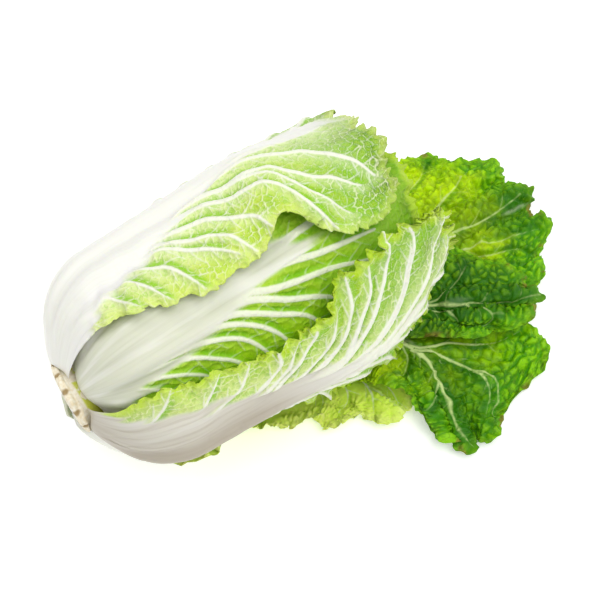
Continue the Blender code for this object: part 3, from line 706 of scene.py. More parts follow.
def under_head(one, x, y):
    """Where a loose leaf hugs the head's underside, from x and y: the way along, angle and inner depth."""
    along = BASE_ALONG + x - RING_X
    depth = np.full(np.shape(x), HUG_DEPTH)
    for _ in range(HUG_ROUNDS):
        angle = math.pi + np.arcsin(np.clip(y / (RING_RADIUS + depth), -SIDE_REACH, SIDE_REACH))
        depth = soft_max(one.cover.at(along, angle) + LEAF_GAP, natural_depth(one, along))
    return along, angle, depth


def free_of_head(x, y):
    """0 where the head's weight presses a loose leaf flat, 1 out beyond the head."""
    return 1 - (1 - ease(np.abs(y), *PRESSED_Y)) * (1 - ease(x, *PRESSED_X))


def loose_faces(one, u, v):
    """Points of a loose leaf's inner and outer face: round the head's base, then down on the table."""
    flesh = thickness(one, u, v)
    along = travel_along(one, u, v)
    angle = one.angle + half_width(one, u, v) * v
    short = np.minimum(along, SWAP_ALONG[1])
    x, y = face_over_table(one, u, v)
    wave = ruffle(one, u, v)
    inner_depth = soft_max(one.cover.at(short, angle) + LEAF_GAP, natural_depth(one, short)) + wave
    settled = ease(x, *SETTLE_X)
    table = one.table.at(x, y) + wave
    swap = ease(along, *SWAP_ALONG)[..., None]
    _, under_angle, under_depth = under_head(one, x, y)
    faces = []
    for inside in (True, False):
        on_round = on_head(short, angle, inner_depth if inside else inner_depth + flesh)
        reach = RING_RADIUS + under_depth + wave + (0 if inside else flesh)
        flat = table + (flesh if inside else 0)
        hugging = soft_max(AXIS_HEIGHT + reach * np.cos(under_angle), flat, 0.002)
        height = hugging * (1 - settled) + flat * settled
        faces.append(on_round * (1 - swap) + np.stack([x, y, height], axis=-1) * swap)
    return faces


print("a loose leaf leaves the round", [round(along * 1000) for along in SWAP_ALONG], "mm from the stem")

# %% [markdown]
# ## Laying the leaves
# The head is laid from the heart out, and the spread leaves from the table up, in the same order as the
# solids, so that every fine leaf rests where its solid does. The heart itself comes first, with the six
# short tips that stand up from it.

# %% Where the heart's tips stand
HEART_PROFILE = [(0, 0.027), (0.04, 0.030), (0.08, 0.034), (0.13, 0.036), (0.18, 0.037), (0.21, 0.034),
                 (0.235, 0.027), (0.255, 0.016), (0.270, 0.000), (0.278, -0.027)]
HEART_ALONG_END = HEART_PROFILE[-1][0]
HEART_TIP_PROFILE = [(0.14, 0.036), (0.18, 0.037), (0.21, 0.035), (0.235, 0.030), (0.255, 0.022),
                     (0.275, 0.011), (0.290, 0.000), (0.300, -0.010)]
HEART_TIPS = [(0.150, 0.284, 0.0012), (0.140, 0.292, 0.0044)]
TIPS_IN_WHORL = 3
TIP_HALF_ANGLE = math.radians(52)
TIP_ROOT_DEPTH = 0.0025
TIP_ROUNDED = 0.14
TIP_NARROWED = 0.25
TIP_WAVE = 0.0012
TIP_WAVES = 9
TIP_TURN = 0.4


def heart_tip_sheet(whorl, angle, rows, columns):
    """A leaf tip that grows out of the heart: its way along, its angle and its two depths."""
    start, end, clear = HEART_TIPS[whorl]
    u, v = leaf_shares(rows, columns)
    along = start + u * (end - start) * (1 - TIP_ROUNDED * v**2)
    turn = angle + TIP_HALF_ANGLE * (1 - TIP_NARROWED * u) * v
    wave = TIP_WAVE * (1 + np.sin(TIP_WAVES * v + angle)) * ease(u, 0.5, 1.0)
    under = curve(HEART_PROFILE, along) - TIP_ROOT_DEPTH
    over = curve(HEART_TIP_PROFILE, along) + clear + wave
    inner = under + (over - under) * ease(u, 0.02, 0.35)
    return along, turn, inner, inner + BLADE_THICKNESS


def heart_tip_places():
    """Which whorl each of the heart's tips is in, and its angle round the head."""
    step = 2 * math.pi / TIPS_IN_WHORL
    return [(whorl, (k + whorl / 2) * step + TIP_TURN)
            for whorl in range(len(HEART_TIPS)) for k in range(TIPS_IN_WHORL)]


print(len(heart_tip_places()), "tips on the heart")

# %% Lay every leaf
LAID_GRID = (180, 120)
SWAP_X = RING_X + SWAP_ALONG[0] - BASE_ALONG


def lay_leaves():
    """Gives every leaf what it lies on: the head from the heart out, then the table from below up."""
    along = np.arange(ALONG_CELLS) * ALONG_CELL
    start = np.where(along < HEART_ALONG_END, curve(HEART_PROFILE, along), -RING_RADIUS)
    head = bare_head(np.repeat(start[:, None], ROUND_CELLS, axis=1))
    for whorl, angle in heart_tip_places():
        reach, turn, _, outer = heart_tip_sheet(whorl, angle, 6, 6)
        head.lay(reach, turn, outer)
    u, v = leaf_shares(*LAID_GRID)
    for one in HEAD_LEAVES + LOOSE_LEAVES:
        one.cover = head.cover()
        reach, angle, _, outer = over_head(one, u, v)
        kept = reach < (SWAP_ALONG[1] if one.path else 1)
        head.lay(reach[kept], angle[kept], outer[kept])
        if one.path:
            x, y = face_over_table(one, u, v)
            reach, angle, inner = under_head(one, x, y)
            outer = inner + ruffle(one, u, v) + thickness(one, u, v)
            kept = (x > SWAP_X) & (x < 0)
            head.lay(reach[kept], angle[kept], outer[kept])
    table = bare_table()
    for k, one in enumerate(reversed(LOOSE_LEAVES)):
        one.table = table.cover()
        one.table.heights += LEAF_GAP if k else 0
        x, y = face_over_table(one, u, v)
        table.lay(x, y, one.table.at(x, y) + ruffle(one, u, v) + thickness(one, u, v))


lay_leaves()
print("laid", len(HEAD_LEAVES + LOOSE_LEAVES), "leaves")

# %% [markdown]
# ## Fine shares of a leaf
# A leaf's mesh is a grid, dense enough for veins a millimetre wide where the leaf shows and sparser
# under the head. Its edge isn't cut by a knife: between small lobes it draws in by a millimetre or two,
# so the outermost shares are pulled back in an uneven rhythm counted along the real margin.

# %% Faces and margin
TOOTH_LENGTH = 0.0042


def plain_faces(one, u, v):
    """Points of the leaf's hidden and shown face, with the solid's own form."""
    if one.path:
        shown, hidden = loose_faces(one, u, v)
        return hidden, shown
    along, angle, inner, outer = over_head(one, u, v)
    return on_head(along, angle, inner), on_head(along, angle, outer)


def lengths(points):
    """The way gone at each of a row of points."""
    return np.concatenate([[0], np.cumsum(np.linalg.norm(np.diff(points, axis=0), axis=1))])


def uneven(way, wavelength, start=0.0):
    """A wave from 0 to 1 along a way, never quite regular."""
    turn = 2 * math.pi * way / wavelength + start
    return 0.5 + 0.5 * np.sin(turn + 1.5 * np.sin(turn / 4.3 + 1) + 0.9 * np.sin(turn / 2.7))


def lobes(one, way, start):
    """How deep the margin draws in between its lobes and teeth, along the way round it."""
    bay = 0.6 * uneven(way, one.lobe_length, start) ** 1.6
    return one.lobe * (bay + 0.3 * uneven(way, 2.6 * one.lobe_length) + 0.1 * uneven(way, TOOTH_LENGTH))


print("teeth", TOOTH_LENGTH * 1000, "mm apart between lobes of", FRONT_LEAF.lobe_length * 1000, "mm")

# %% Fine shares
EARLY_ROWS = 0.22
LOBE_SHARE = 8


def fine_shares(one):
    """The fine mesh's shares, with the margin drawn in between its lobes."""
    rows, columns = one.grid
    u = np.interp(np.linspace(0, 1, rows + 1), [0, EARLY_ROWS, 1], [0, one.seen_from, 1])
    u, v = np.meshgrid(u, np.linspace(-1, 1, columns + 1), indexing="ij")
    _, shown = plain_faces(one, u, v)
    half = np.linalg.norm(shown[:, -1] - shown[:, columns // 2], axis=1)[:, None]
    grow = ease(u, one.wavy_from, one.wavy_from + 0.1)
    for side, column in ((-1, 0), (1, columns)):
        way = lengths(shown[:, column])[:, None]
        bay = lobes(one, way, side)
        near = np.where(v * side > 0, np.abs(v) ** LOBE_SHARE, 0)
        v = v * (1 - bay / np.maximum(half, 0.02) * near * grow)
    bay = lobes(one, lengths(shown[-1])[None, :], 2)
    return u * (1 - bay / one.length * u ** (4 * LOBE_SHARE)), v


print("the front leaf has", np.size(fine_shares(FRONT_LEAF)[0]), "points on its shown face")

# %% [markdown]
# ## Veins
# The white veins make this cabbage: thick ones fan out of the rib, thinner ones leave them by turns, and
# a net joins them all. The thick ones that the photograph shows are drawn from their list, the others
# by a rule. Each is kept as points close together in space, so a search tree can tell any spot of the
# leaf how far its nearest vein is. A painted texture would need a flat map of the leaf; this needs none.

# %% Vein sizes and the white flesh
VEIN_TAPER = {
    "head": [(0, 2.2), (0.25, 1.8), (0.5, 1.5), (0.8, 1.15), (1, 0.55)],
    "loose": [(0, 1.6), (0.25, 1.3), (0.5, 1.0), (0.8, 0.55), (1, 0.2)],
}
THICK_SCALE = {"head": 2.1, "loose": 1.2}
WHITE_ENDS = 0.12
WHITE_SHARE = [(0, 1.3), (0.10, 0.95), (0.22, 0.52), (0.40, 0.26), (0.60, 0.10), (0.80, 0.03), (1, 0.0)]
WHITE_RIGHT = {
    "far_leaf": [(0, 1.4), (0.15, 1.0), (0.23, 0.76), (0.37, 0.46), (0.45, 0.38), (0.55, 0.30), (0.7, 0.24),
                 (0.85, 0.18), (1, 0.08)],
    "front_leaf": [(0, 1.4), (0.05, 1.1), (0.10, 0.62), (0.15, 0.38), (0.20, 0.28), (0.26, 0.22),
                   (0.32, 0.17), (0.38, 0.11), (0.46, 0.05), (0.6, 0.02), (1, 0)],
}
WHITE_LEFT = {
    "front_leaf": [(0, 1.4), (0.2, 1.2), (0.35, 0.95), (0.5, 0.58), (0.62, 0.26), (0.75, 0.08), (1, 0)],
    "far_leaf": [(0, 1.4), (0.15, 1.0), (0.3, 0.62), (0.5, 0.38), (0.7, 0.26), (0.85, 0.18), (1, 0.08)],
    "near_leaf": [(0, 1.2), (0.07, 0.92), (0.15, 0.65), (0.25, 0.56), (0.34, 0.42), (0.43, 0.26),
                  (0.55, 0.13), (0.7, 0.06), (0.85, 0.03), (1, 0)],
}


def white_reach(one, u, v):
    """How far across the white flesh reaches from the midrib, as a share of the half-width."""
    left = curve(WHITE_LEFT.get(one.name, WHITE_SHARE), u)
    right = curve(WHITE_RIGHT.get(one.name, WHITE_SHARE), u)
    return np.where(v < 0, left, right) - WHITE_ENDS * ease(u, 0.45, 0.7)


print("halfway up, the front leaf's white reaches", white_reach(FRONT_LEAF, 0.5, np.array([-1, 1])).round(2))

# %% Lines of veins
VEIN_STEP = 0.0007
LEAF_METRES = (0.35, 0.07)
MIDRIB = (3.2, [(0.0, 0.0), (0.5, 0.0), (1.0, 0.0)])
RULE_VEIN = [(0, 0.0), (0.16, 0.10), (0.45, 0.34), (0.75, 0.66), (1.0, 0.99)]
PACE_GRID = (40, 24)


def close_points(line):
    """A vein's points close together, from a few (u, v), and how far along it each is, from 0 to 1."""
    line = np.array(line, float)
    way = np.diff(line, axis=0) * LEAF_METRES
    steps = np.concatenate([[0], np.cumsum(np.hypot(*way.T))])
    share = np.linspace(0, 1, max(int(steps[-1] / VEIN_STEP), 4))
    spots = [curve(np.column_stack([steps, line[:, k]]), share * steps[-1]) for k in (0, 1)]
    return np.stack(spots, axis=1), share


def rule_vein(share, side, random):
    """A vein on a side that isn't seen. share says how far up the midrib it leaves."""
    start = 0.05 + 0.84 * share
    reach = (0.30 - 0.14 * share) * random.uniform(0.9, 1.1)
    spots = [(min(start + reach * a, 0.995), side * b) for a, b in RULE_VEIN]
    return 1.9 - 0.8 * share, spots


def paces(one):
    """Metres for each share along and across, on a coarse grid over the leaf."""
    _, shown = plain_faces(one, *leaf_shares(*PACE_GRID))
    along, across = np.gradient(shown, axis=(0, 1))
    return np.linalg.norm(along, axis=2) * PACE_GRID[0], np.linalg.norm(across, axis=2) * PACE_GRID[1] / 2


def pace_at(one, spot):
    """Metres for each share along and across at one spot."""
    i, j = int(round(spot[0] * PACE_GRID[0])), int(round((spot[1] + 1) * PACE_GRID[1] / 2))
    i, j = min(max(i, 0), PACE_GRID[0]), min(max(j, 0), PACE_GRID[1])
    return np.array([max(one.paces[0][i, j], 0.05), max(one.paces[1][i, j], 0.005)])


print("a vein across half a leaf has", len(close_points([(0.5, 0.0), (0.7, 1.0)])[1]), "points")

# %% Thin veins
THIN_END = 0.45
THIN_HALF = 0.0007
SIDE_VEIN_EVERY = 0.0085
SPARSER_WHEN_LOOSE = 1.6
SIDE_VEIN_ANGLE = math.radians(44)
SIDE_VEIN_LENGTH = (0.009, 0.019)
SIDE_VEIN_BEND = 0.988
SIDE_VEIN_SHARE = 0.45
WHITE_CLEAR = 0.02


def side_vein(one, spot, heading, length):
    """Points of a thin vein that sets off at an angle to the midrib's way and bends towards the tip."""
    spot, found = np.array(spot, float), []
    for _ in range(int(length / VEIN_STEP)):
        found.append(spot.copy())
        spot = spot + VEIN_STEP * np.array([math.cos(heading), math.sin(heading)]) / pace_at(one, spot)
        heading *= SIDE_VEIN_BEND
    return np.array(found)


def side_veins(one, spots, half, random):
    """Thin veins that leave one thick vein by turns to its left and right."""
    found, since, turn = [], 0.0, 1
    every = SIDE_VEIN_EVERY * (SPARSER_WHEN_LOOSE if one.path else 1.0)
    for k in range(1, len(spots) - 2):
        step = (spots[k + 1] - spots[k]) * pace_at(one, spots[k])
        since += math.hypot(*step)
        clear = abs(spots[k][1]) > float(white_reach(one, spots[k][0], spots[k][1])) + WHITE_CLEAR
        if since < every or not clear:
            continue
        since = 0.0
        turn = -turn
        heading = math.atan2(step[1], step[0]) + turn * SIDE_VEIN_ANGLE * random.uniform(0.8, 1.15)
        line = side_vein(one, spots[k], heading, random.uniform(*SIDE_VEIN_LENGTH))
        taper = np.linspace(1, THIN_END, len(line))
        found.append((line, min(THIN_HALF, SIDE_VEIN_SHARE * half[k]) * taper))
    return found


def grow_veins(one, random):
    """All veins of a leaf, as two lists of (points, half-widths): the thick ones and the thin ones."""
    lines = list(one.veins) or [MIDRIB]
    for side, count in zip((-1, 1), one.grown):
        lines += [rule_vein((k + 0.5) / count, side, random) for k in range(count)]
    thick, thin = [], []
    for width, line in lines:
        spots, share = close_points(line)
        half = one.vein_scale * THICK_SCALE[one.kind] * width / 2000 * curve(VEIN_TAPER[one.kind], share)
        thick.append((spots, half))
        thin += side_veins(one, spots, half, random)
    return thick, thin


print("thin veins leave every", SIDE_VEIN_EVERY * 1000, "mm on the head")

# %% Distances to veins


def tree_of(points):
    """A search tree over points."""
    tree = KDTree(len(points))
    for k, point in enumerate(points.tolist()):
        tree.insert(point, k)
    tree.balance()
    return tree


def nearest(tree, points):
    """For each point, which of the tree's is nearest and how far it is."""
    found = [tree.find(point)[1:] for point in points.reshape(-1, 3).tolist()]
    index, distance = np.array(found).T
    return index.reshape(points.shape[:-1]).astype(int), distance.reshape(points.shape[:-1])


def to_veins(one, veins, v, points):
    """For each point, the distance to the nearest vein, that vein's half-width and 1 on its outer side."""
    spots = np.concatenate([line for line, _ in veins])
    half = np.concatenate([widths for _, widths in veins])
    kept = (np.abs(spots[:, 1]) <= 1) & (spots[:, 0] <= 1)
    _, lie = plain_faces(one, spots[kept, 0], spots[kept, 1])
    index, distance = nearest(tree_of(lie), points)
    beyond = (v - spots[kept, 1][index]) * np.sign(v) * one.paces[1].mean()
    return distance, half[kept][index], ease(beyond, -0.0012, 0.0012)


origin = tree_of(np.zeros((1, 3)))
print("a point 3 across and 4 up is", nearest(origin, np.array([[0.0, 3.0, 4.0]]))[1], "away")

# %% [markdown]
# ## Crinkles
# Between the veins the blade is a net of small cells. On the head they are pits with pale lines round
# them; on the outer leaves they are blisters. Seeds are scattered over the leaf, and the difference of
# the distances to the two nearest seeds tells how near a spot is to the border of its cell.

# %% Crinkle cells
SEED_STRAYS = 0.36


def cell_seeds(one, random):
    """Seeds about one cell apart, in shares of the leaf."""
    found = []
    for k, u in enumerate(np.arange(0.5 * one.cell / one.length, 1, one.cell / one.length)):
        i = min(int(round(u * PACE_GRID[0])), PACE_GRID[0])
        width = one.paces[1][i].mean() * 2
        count = max(int(round(width / one.cell)), 2)
        v = (np.arange(count) + 0.5 + 0.5 * (k % 2)) / count * 2 - 1
        spots = np.column_stack([np.full(count, u), v])
        stray = random.uniform(-SEED_STRAYS, SEED_STRAYS, (count, 2))
        found.append(spots + stray * (one.cell / one.length, 2 / count))
    found = np.concatenate(found)
    return np.clip(found, (0, -1), (1, 1))


def cell_border(one, points, random):
    """The distance to the border of the cell that each point is in."""
    seeds = cell_seeds(one, random)
    _, lie = plain_faces(one, seeds[:, 0], seeds[:, 1])
    tree = tree_of(lie)
    found = []
    for point in points.reshape(-1, 3).tolist():
        (one_seed, _, first), (other_seed, _, second) = tree.find_n(point, 2)
        apart = max((one_seed - other_seed).length, 0.001)
        found.append((second**2 - first**2) / (2 * apart))
    return np.array(found).reshape(points.shape[:-1])


print("cells", FRONT_LEAF.cell * 1000, "mm across on the front leaf")

# %% [markdown]
# ## What lies over a leaf
# A leaf is blistered and waved only where it has room. So the leaves are laid once more from the outside
# in, and each notes where another lies over it: from there its relief and its frill fade out.

# %% What lies over a leaf


def softened(pile):
    """The pile with its steps blurred over a cell or two."""
    grid = pile.heights
    for side in (0, 1, 0, 1):
        grid = np.mean([pile.slide(grid, k, side) for k in (-1, 0, 1)], axis=0)
    return Pile(grid, pile.corner, pile.cell, pile.wraps)


def note_covers():
    """Notes for every leaf where a later one lies over it, so that its relief stays low there."""
    head = bare_head(np.zeros((ALONG_CELLS, ROUND_CELLS)))
    u, v = leaf_shares(*LAID_GRID)
    for one in reversed(HEAD_LEAVES + LOOSE_LEAVES):
        one.over = softened(head)
        reach, angle, _, _ = over_head(one, u, v)
        kept = reach < (SWAP_ALONG[1] if one.path else 1)
        head.lay(reach[kept], angle[kept], np.ones(kept.sum()))
    table = bare_table()
    for one in LOOSE_LEAVES:
        one.over_table = softened(table)
        x, y = face_over_table(one, u, v)
        table.lay(x, y, np.ones(x.shape))


def bareness(one, u, v):
    """1 where nothing lies over the leaf and 0 where something does."""
    if one.path:
        x, y = face_over_table(one, u, v)
        return np.clip(1 - one.over_table.at(x, y), 0, 1) * free_of_head(x, y)
    along = travel_along(one, u, v)
    angle = one.angle + half_width(one, u, v) * v
    return np.clip(1 - one.over.at(along, angle), 0, 1)


note_covers()
print("bare share of the front leaf:", round(float(bareness(FRONT_LEAF, *leaf_shares(20, 20)).mean()), 2))

# %% [markdown]
# ## Relief
# Every leaf's shown face gets its veins, cells and frill as real height, because at this distance a bump
# map alone looks painted. Its lumps come from a noise made of a few crossing waves, which needs no
# picture and can be read at any point. Where a leaf is covered its relief is held down, so it doesn't
# break through the leaf above.

# %% Noise and margin
NOISE_WAVES = 7
NOISE_SIZES = (0.8, 1.6)
NOISE_PEAK = 3.2
NOISE_SEED = {"streaks": 4, "lumps": 5, "fold": 6, "creases": 8, "patches": 9, "wobble": (21, 22, 23)}


def slow_noise(points, size, seed):
    """A soft noise from -1 to 1 with lumps of about a size, from a few crossing waves."""
    random = np.random.default_rng(seed)
    total = np.zeros(points.shape[:-1])
    for _ in range(NOISE_WAVES):
        way = random.normal(size=3)
        way *= 2 * math.pi / (size * random.uniform(*NOISE_SIZES)) / np.linalg.norm(way)
        total += np.sin(points @ way + random.uniform(0, 6))
    return total / NOISE_PEAK


def facing(one, points):
    """The unit directions that the shown face faces."""
    along, across = np.gradient(points, axis=(0, 1))
    way = np.cross(along, across) * (1 if one.path else -1)
    return way / (np.linalg.norm(way, axis=-1, keepdims=True) + 1e-12)


def to_margin(points):
    """For each point, the distance to the leaf's margin and how far along the margin that is."""
    ring = np.concatenate([points[2:, 0], points[-1, 1:-1], points[:1:-1, -1]])
    way = lengths(ring)
    index, distance = nearest(tree_of(ring), points)
    return distance, way[index]


def near_margin(distance, reach):
    """1 at the margin, falling to 0 at some reach from it."""
    return np.clip(1 - distance / reach, 0, 1)


print("noise at one spot", slow_noise(np.zeros((1, 3)), 0.01, 1).round(2))

# %% [markdown]
# ## Marks
# A mark says what each spot of a leaf is: how far it is from a vein, how much of it is rib, whether it
# lies in the furrow on a vein's inner side. Relief and colour both follow the same marks, so a vein is
# white exactly where it is raised. The rib's border is drawn out in streaks, as on the real leaf.

# %% Marks of a leaf
LEAST_HALF = 0.00075
CELL_WOBBLE = 0.0016
CELL_WOBBLE_SIZE = 0.011
STREAK_STRETCH = 9
STREAK_REACH = 0.005
STREAK_WIDTH = 0.007
RIB_BORDER = (-0.004, 0.007)
PALE_REACH = 0.050
SLOPE_REACH = 0.0040
SLOPE_SHARE = 1.25
SLOPE_LEAST = 0.0008
CLEAR_OF_THICK = 0.0020
CLEAR_OF_THIN = 0.0015
CELL_SLOPE = 0.30
KEPT_MM = (-5, 20)
FURROW_AWAY = 0.0018
FURROW_WIDTH = 0.0026
FURROW_PATCHES = 0.040
OUTER_LOSS = 0.85


def vein_mark(distance, half):
    """1 on a vein, fading at its sides. One thinner than the mesh can show is drawn wider and fainter."""
    drawn = np.maximum(half, LEAST_HALF)
    return (1 - ease(distance / drawn, 0.45, 1.5)) * np.clip(half / drawn + 0.15, 0, 1)


def drawn_out(one, u, v):
    """Places drawn together along the leaf, in which a noise makes streaks that run with its fibres."""
    return np.stack([u * one.length / STREAK_STRETCH, v * one.paces[1].mean(), 0 * u], axis=-1)


def marks_of(one, u, v, shown, random):
    """What each spot of the leaf is. Names that end in mm are distances, the others go from 0 to 1."""
    one.paces = paces(one)
    thick, thin = grow_veins(one, random)
    far, half, outer = to_veins(one, thick, v, shown)
    far_thin, half_thin, _ = to_veins(one, thin, v, shown)
    edge, way = to_margin(shown)
    wobble = [CELL_WOBBLE * slow_noise(shown, CELL_WOBBLE_SIZE, seed) for seed in NOISE_SEED["wobble"]]
    border = cell_border(one, shown + np.stack(wobble, axis=-1), random)
    reach = (np.abs(v) - white_reach(one, u, v)) * one.paces[1].mean()
    reach = reach + STREAK_REACH * slow_noise(drawn_out(one, u, v), STREAK_WIDTH, NOISE_SEED["streaks"])
    clear = ease(far - half, 0, CLEAR_OF_THICK) * ease(far_thin, 0, CLEAR_OF_THIN)
    slope = SLOPE_SHARE * half + SLOPE_LEAST + SLOPE_REACH * outer
    furrow = np.exp(-(((far - (half + FURROW_AWAY)) / FURROW_WIDTH) ** 2))
    patches = np.clip(0.90 + 0.9 * slow_noise(shown, FURROW_PATCHES, NOISE_SEED["patches"]), 0, 1)
    return dict(
        half=half, way=way, edge=edge, vein=vein_mark(far, half), thin=vein_mark(far_thin, half_thin),
        flesh=1 - ease(reach, *RIB_BORDER), pale=1 - ease(reach, 0.0, PALE_REACH),
        shoulder=np.exp(-((far / slope) ** 2)), furrow=furrow * (1 - OUTER_LOSS * outer) * patches,
        cell=ease(border / one.cell, 0.0, CELL_SLOPE) * clear, net_mm=np.clip(1000 * border, *KEPT_MM),
        vein_mm=np.clip(1000 * (far - half), *KEPT_MM),
        thin_mm=np.clip(1000 * (far_thin - half_thin), *KEPT_MM))


print("streaks about", round(STREAK_WIDTH * 1000), "mm wide and", STREAK_STRETCH, "times as long")

# %% [markdown]
# ## Height of the relief
# On the head each vein is a ridge with a soft slope on its outer side and a furrow on its inner side, and
# the cells are shallow pits. On the outer leaves the cells are blisters, and long creases run between
# them. A sculpted multiresolution mesh could hold this too, but only heights that follow the marks stay
# in step with the colours.

# %% Relief of a leaf
COVERED_RELIEF = 0.0005
FLESH_RIDGES = 0.12
FLESH_FOLD = 0.0020
FLESH_FOLD_WIDTH = 0.014
LUMP_SIZE = {"head": 0.024, "loose": 0.016}
CREASE_SIZE = 0.028
SMOOTH_MARGIN = 0.005
RELIEF_GROWS = 0.15
RELIEF = {
    "head": dict(vein=0.28, shoulder=0.50, furrow=-0.0016, thin=0.0003, pit=-0.0009, lump=0.0016, crease=0.0),
    "loose": dict(vein=0.35, shoulder=-0.3, furrow=0.0, thin=0.0, pit=0.0030, lump=0.0030, crease=0.0036),
}


def held_down(height, bare):
    """A height, kept very low where another leaf lies over it."""
    return height * bare + np.clip(height, -COVERED_RELIEF, COVERED_RELIEF) * (1 - bare)


def relief_of(one, u, v, shown, marks):
    """The height of the shown face's relief, and the part of it that both faces share."""
    rule = RELIEF[one.kind]
    blade = 1 - marks["flesh"]
    lumps = rule["lump"] * (0.6 + 0.6 * slow_noise(shown, LUMP_SIZE[one.kind], NOISE_SEED["lumps"]))
    creases = rule["crease"] * (1 - np.abs(slow_noise(shown, CREASE_SIZE, NOISE_SEED["creases"]))) ** 3
    lumps = np.maximum(lumps + creases, 0) * blade
    ridge = rule["vein"] * marks["half"] * marks["vein"] + rule["thin"] * marks["thin"] * blade
    ridge += rule["shoulder"] * marks["half"] * marks["shoulder"] + rule["furrow"] * marks["furrow"]
    ridge *= FLESH_RIDGES + (1 - FLESH_RIDGES) * blade
    fold = slow_noise(drawn_out(one, u, v), FLESH_FOLD_WIDTH, NOISE_SEED["fold"])
    ridge += FLESH_FOLD * fold * marks["flesh"] * ease(u, 0.03, 0.15)
    pits = rule["pit"] * marks["cell"] * blade * (0.25 + 0.75 * ease(marks["edge"], 0, SMOOTH_MARGIN))
    both, face = lumps * ease(u, one.wavy_from, one.wavy_from + RELIEF_GROWS), ridge
    if one.path:
        both = both + pits
    else:
        face = face + pits
    bare = bareness(one, u, v)
    return held_down(face, bare), held_down(both, bare) * (1 if one.path else 0.5 + 0.5 * bare)


for kind, rule in RELIEF.items():
    print(kind, "veins stand", round(rule["vein"] + rule["shoulder"], 2), "of their half-width proud")

# %% [markdown]
# ## Frill
# The margin grows faster than the blade inside it, so it has no room and stands up in waves with smaller
# curls on them. Here both faces shift together by a wave counted along the real margin: outwards from
# the leaf, a little sideways, and the crests past the edge, so that the outline shows them as well.

# %% Frill of a margin
FRILL_LENGTH = 0.0125
FRILL_REACH = 0.017
FRILL_LEAN = 0.10
FRILL_LOBE = 0.38
CURL_LENGTH = 0.0068
CURL_REACH = 0.009
CURL_SHARE = 0.40


def outward_of(one, u, v, shown):
    """The unit directions out over the leaf's nearest margin: its side, its tip, or between the two."""
    along, across = np.gradient(shown, axis=(0, 1))
    outward = across * np.sign(v)[..., None] / (np.linalg.norm(across, axis=-1, keepdims=True) + 1e-9)
    onward = along / (np.linalg.norm(along, axis=-1, keepdims=True) + 1e-9)
    to_side = 1 / ((1 - np.abs(v)) * one.paces[1].mean() + 0.003) ** 2
    to_tip = 1 / ((1 - u) * one.paces[0].mean() + 0.003) ** 2
    share = (to_tip / (to_side + to_tip))[..., None]
    return outward * (1 - share) + onward * share


def frill_of(one, u, v, shown, way_out, marks):
    """The margin's frill as a shift of both faces. Its crests also reach outwards and lean along the edge."""
    outward = outward_of(one, u, v, shown)
    sideways = np.cross(outward, way_out)
    way = marks["way"]
    wave = 0.75 * uneven(way, FRILL_LENGTH) + 0.25 * uneven(way, FRILL_LENGTH / 2.3)
    wave = wave + CURL_SHARE * (uneven(way, CURL_LENGTH, 1.3) - 0.5) * near_margin(marks["edge"], CURL_REACH)
    lean = uneven(way + FRILL_LENGTH / 4, FRILL_LENGTH) - 0.5
    height = one.frill * ease(u, one.wavy_from, one.wavy_from + RELIEF_GROWS)
    height = height * np.where(v > 0, one.frill_right, 1)
    height = held_down(height * near_margin(marks["edge"], FRILL_REACH) ** 2, bareness(one, u, v))[..., None]
    rounded = 1 - (1 - np.clip(wave, 0, 1)) ** 2
    return height * (way_out * (wave - 0.3)[..., None] + outward * FRILL_LOBE * (rounded - 0.6)[..., None]
                     + sideways * FRILL_LEAN * lean[..., None])


print("frills", FRILL_LENGTH * 1000, "mm long, curls", CURL_LENGTH * 1000, "mm")

# %% [markdown]
# ## Meshes
# A leaf is closed: its shown face is fine, its hidden face has half as many rows and columns, and the
# rim between them is stitched with triangles. The marks travel with the mesh as named attributes, which
# a material reads at each spot as if they were painted there.

# %% Pieces and their faces


def new_piece(name, points, faces, marks=None, place=None):
    """A smooth mesh piece with its marks as attributes."""
    mesh = bpy.data.meshes.new(name)
    mesh.from_pydata(points.tolist(), [], faces)
    mesh.shade_smooth()
    for key, values in (marks or {}).items():
        layer = mesh.attributes.new(key, "FLOAT", "POINT")
        layer.data.foreach_set("value", np.ascontiguousarray(values, np.float32))
    if place is not None:
        layer = mesh.attributes.new("place", "FLOAT_VECTOR", "POINT")
        layer.data.foreach_set("vector", np.ascontiguousarray(place, np.float32).ravel())
    made = bpy.data.objects.new(name, mesh)
    bpy.context.scene.collection.objects.link(made)
    return made


def grid_faces(rows, columns, first, flip):
    """Quads of a grid of rows by columns."""
    index = first + np.arange((rows + 1) * (columns + 1)).reshape(rows + 1, columns + 1)
    quads = np.stack([index[:-1, :-1], index[1:, :-1], index[1:, 1:], index[:-1, 1:]], axis=-1).reshape(-1, 4)
    return (quads[:, ::-1] if flip else quads).tolist()


def ring_of(rows, columns, first):
    """The grid's rim, once round."""
    index = first + np.arange((rows + 1) * (columns + 1)).reshape(rows + 1, columns + 1)
    return np.concatenate([index[0, :-1], index[:-1, -1], index[-1, :0:-1], index[:0:-1, 0]]).tolist()


def stitched(fine, coarse, flip):
    """Triangles between a rim and one with half as many points."""
    found = []
    for k in range(len(coarse)):
        near, far = coarse[k], coarse[(k + 1) % len(coarse)]
        start, middle, end = fine[2 * k], fine[2 * k + 1], fine[(2 * k + 2) % len(fine)]
        found += [(start, middle, near), (middle, far, near), (middle, end, far)]
    return [face[::-1] for face in found] if flip else found


print("2 by 3 cells have", len(grid_faces(2, 3, 0, False)), "faces and", len(ring_of(2, 3, 0)), "rim points")

# %% A closed leaf
MARGIN_THINS = 0.006
MARGIN_FLESH = 0.42
RIM_WIDTH = 0.020
LEAST_HEIGHT = {"hidden": 0.0002, "shown": 0.0008}
MARK_NAMES = ("vein_mm", "thin_mm", "net_mm", "furrow", "shoulder", "flesh", "pale", "edge", "cell", "green")


